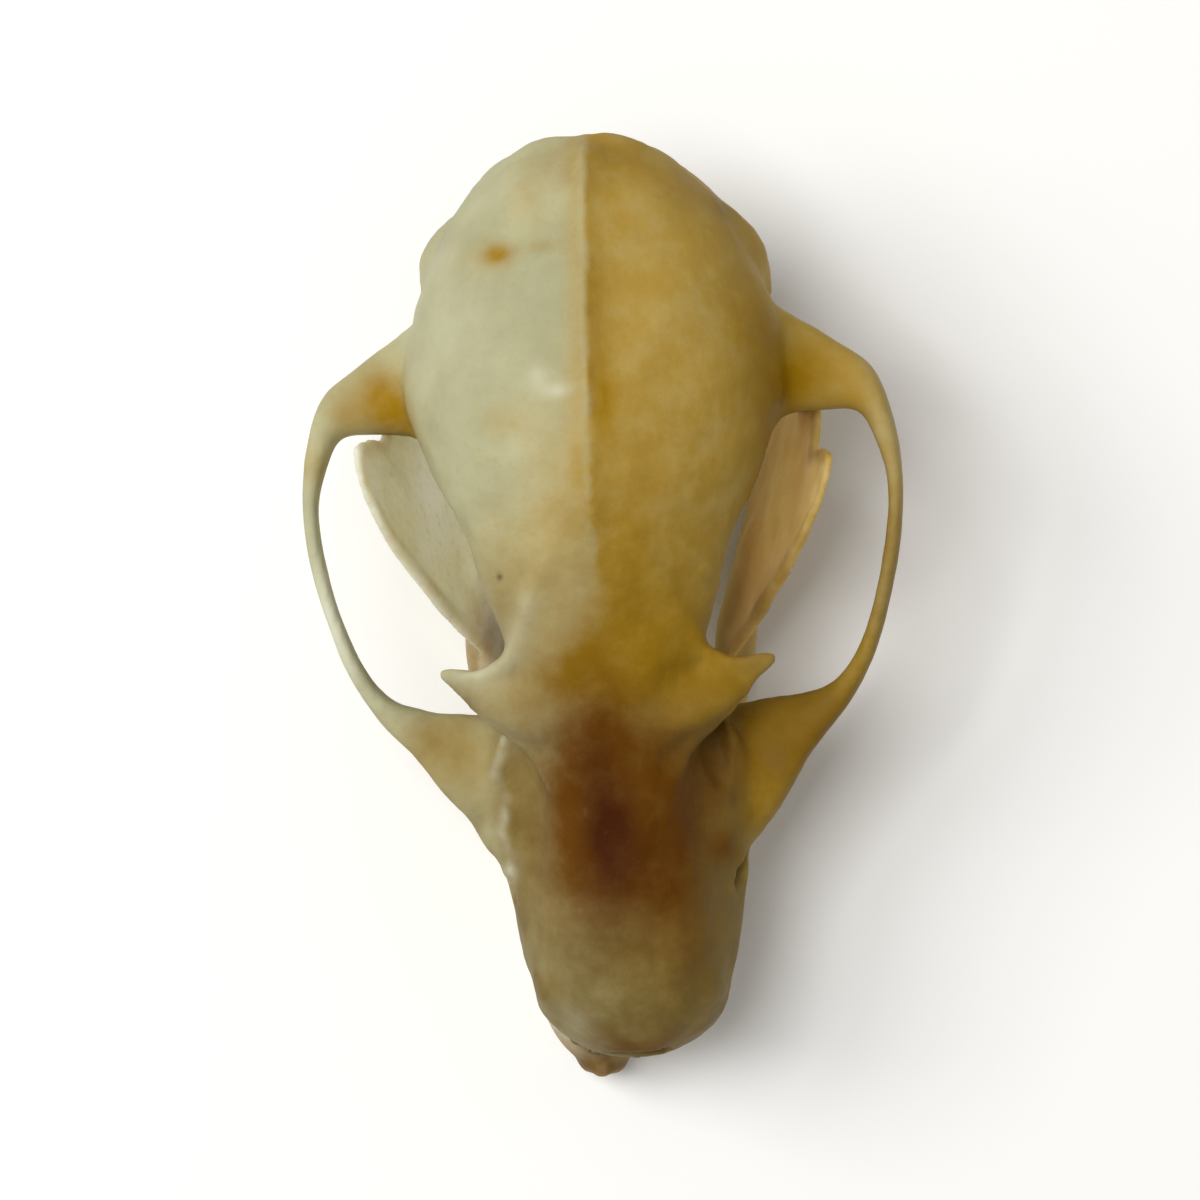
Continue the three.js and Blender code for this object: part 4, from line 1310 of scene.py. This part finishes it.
def camera():
    data = bpy.data.cameras.new("camera")
    data.sensor_width = SENSOR
    data.lens = SENSOR * PIXELS_PER_MM * CAMERA_DISTANCE / PHOTO_WIDTH
    data.clip_start = NEAREST_SEEN
    c, s = math.cos(CAMERA_TILT), math.sin(CAMERA_TILT)
    back = np.array([s, 0, c])
    eye = np.array(CAMERA_TARGET) + CAMERA_DISTANCE * back
    obj = in_scene("camera", data)
    obj.matrix_world = aimed((c, 0, -s), (0, 1, 0), back, eye * MM)
    bpy.context.scene.camera = obj


# Lights: place and width in metres, watts and colour.
LIGHTS = {
    "key_light": ((-0.18, 0.062, 0.235), 0.14, 0.34, (1.0, 1.0, 0.98)),
    "top_light": ((-0.055, 0.035, 0.315), 0.12, 0.52, (1.0, 0.99, 0.98)),
}
SKY_COLOUR = (1.0, 0.99, 0.98, 1)
SKY_STRENGTH = 0.4


def soft_light(name, place, width, watts, colour):
    """A square area light that looks at the skull."""
    data = bpy.data.lights.new(name, "AREA")
    data.size = width
    data.energy = watts
    data.color = colour
    aim = unit(-np.array(place))
    side = unit(np.cross(aim, [0, 0, 1]))
    in_scene(name, data).matrix_world = aimed(side, np.cross(side, aim), -aim, place)


def studio():
    """An even sky, a key light from the animal's right and a steeper one from above."""
    world = bpy.data.worlds.new("studio")
    bpy.context.scene.world = world
    world.use_nodes = True
    sky = world.node_tree.nodes["Background"]
    sky.inputs["Color"].default_value = SKY_COLOUR
    sky.inputs["Strength"].default_value = SKY_STRENGTH
    for name, light in LIGHTS.items():
        soft_light(name, *light)
    bpy.context.scene.view_settings.view_transform = "Standard"


camera()
studio()
floor()
bone_look = bone("cranium_bone", CREAM, IVORY)
# The jaw's ground is lifted as painted light against the shade the plates lie in.
jaw_look = bone("jaw_bone", JAW_LIGHT_PAINTED_LIT, JAW_DARK_PAINTED_LIT, roughness=0.5, glow=0.9, depth=1.3)
ear_look = bone("ear_bone", CREAM, IVORY, roughness=0.62)
enamel_look = enamel("enamel")
build_cranium(bone_look)
build_upper_teeth(enamel_look)
build_ear_rings(ear_look)
build_jaw(jaw_look)
build_lower_teeth(enamel_look)
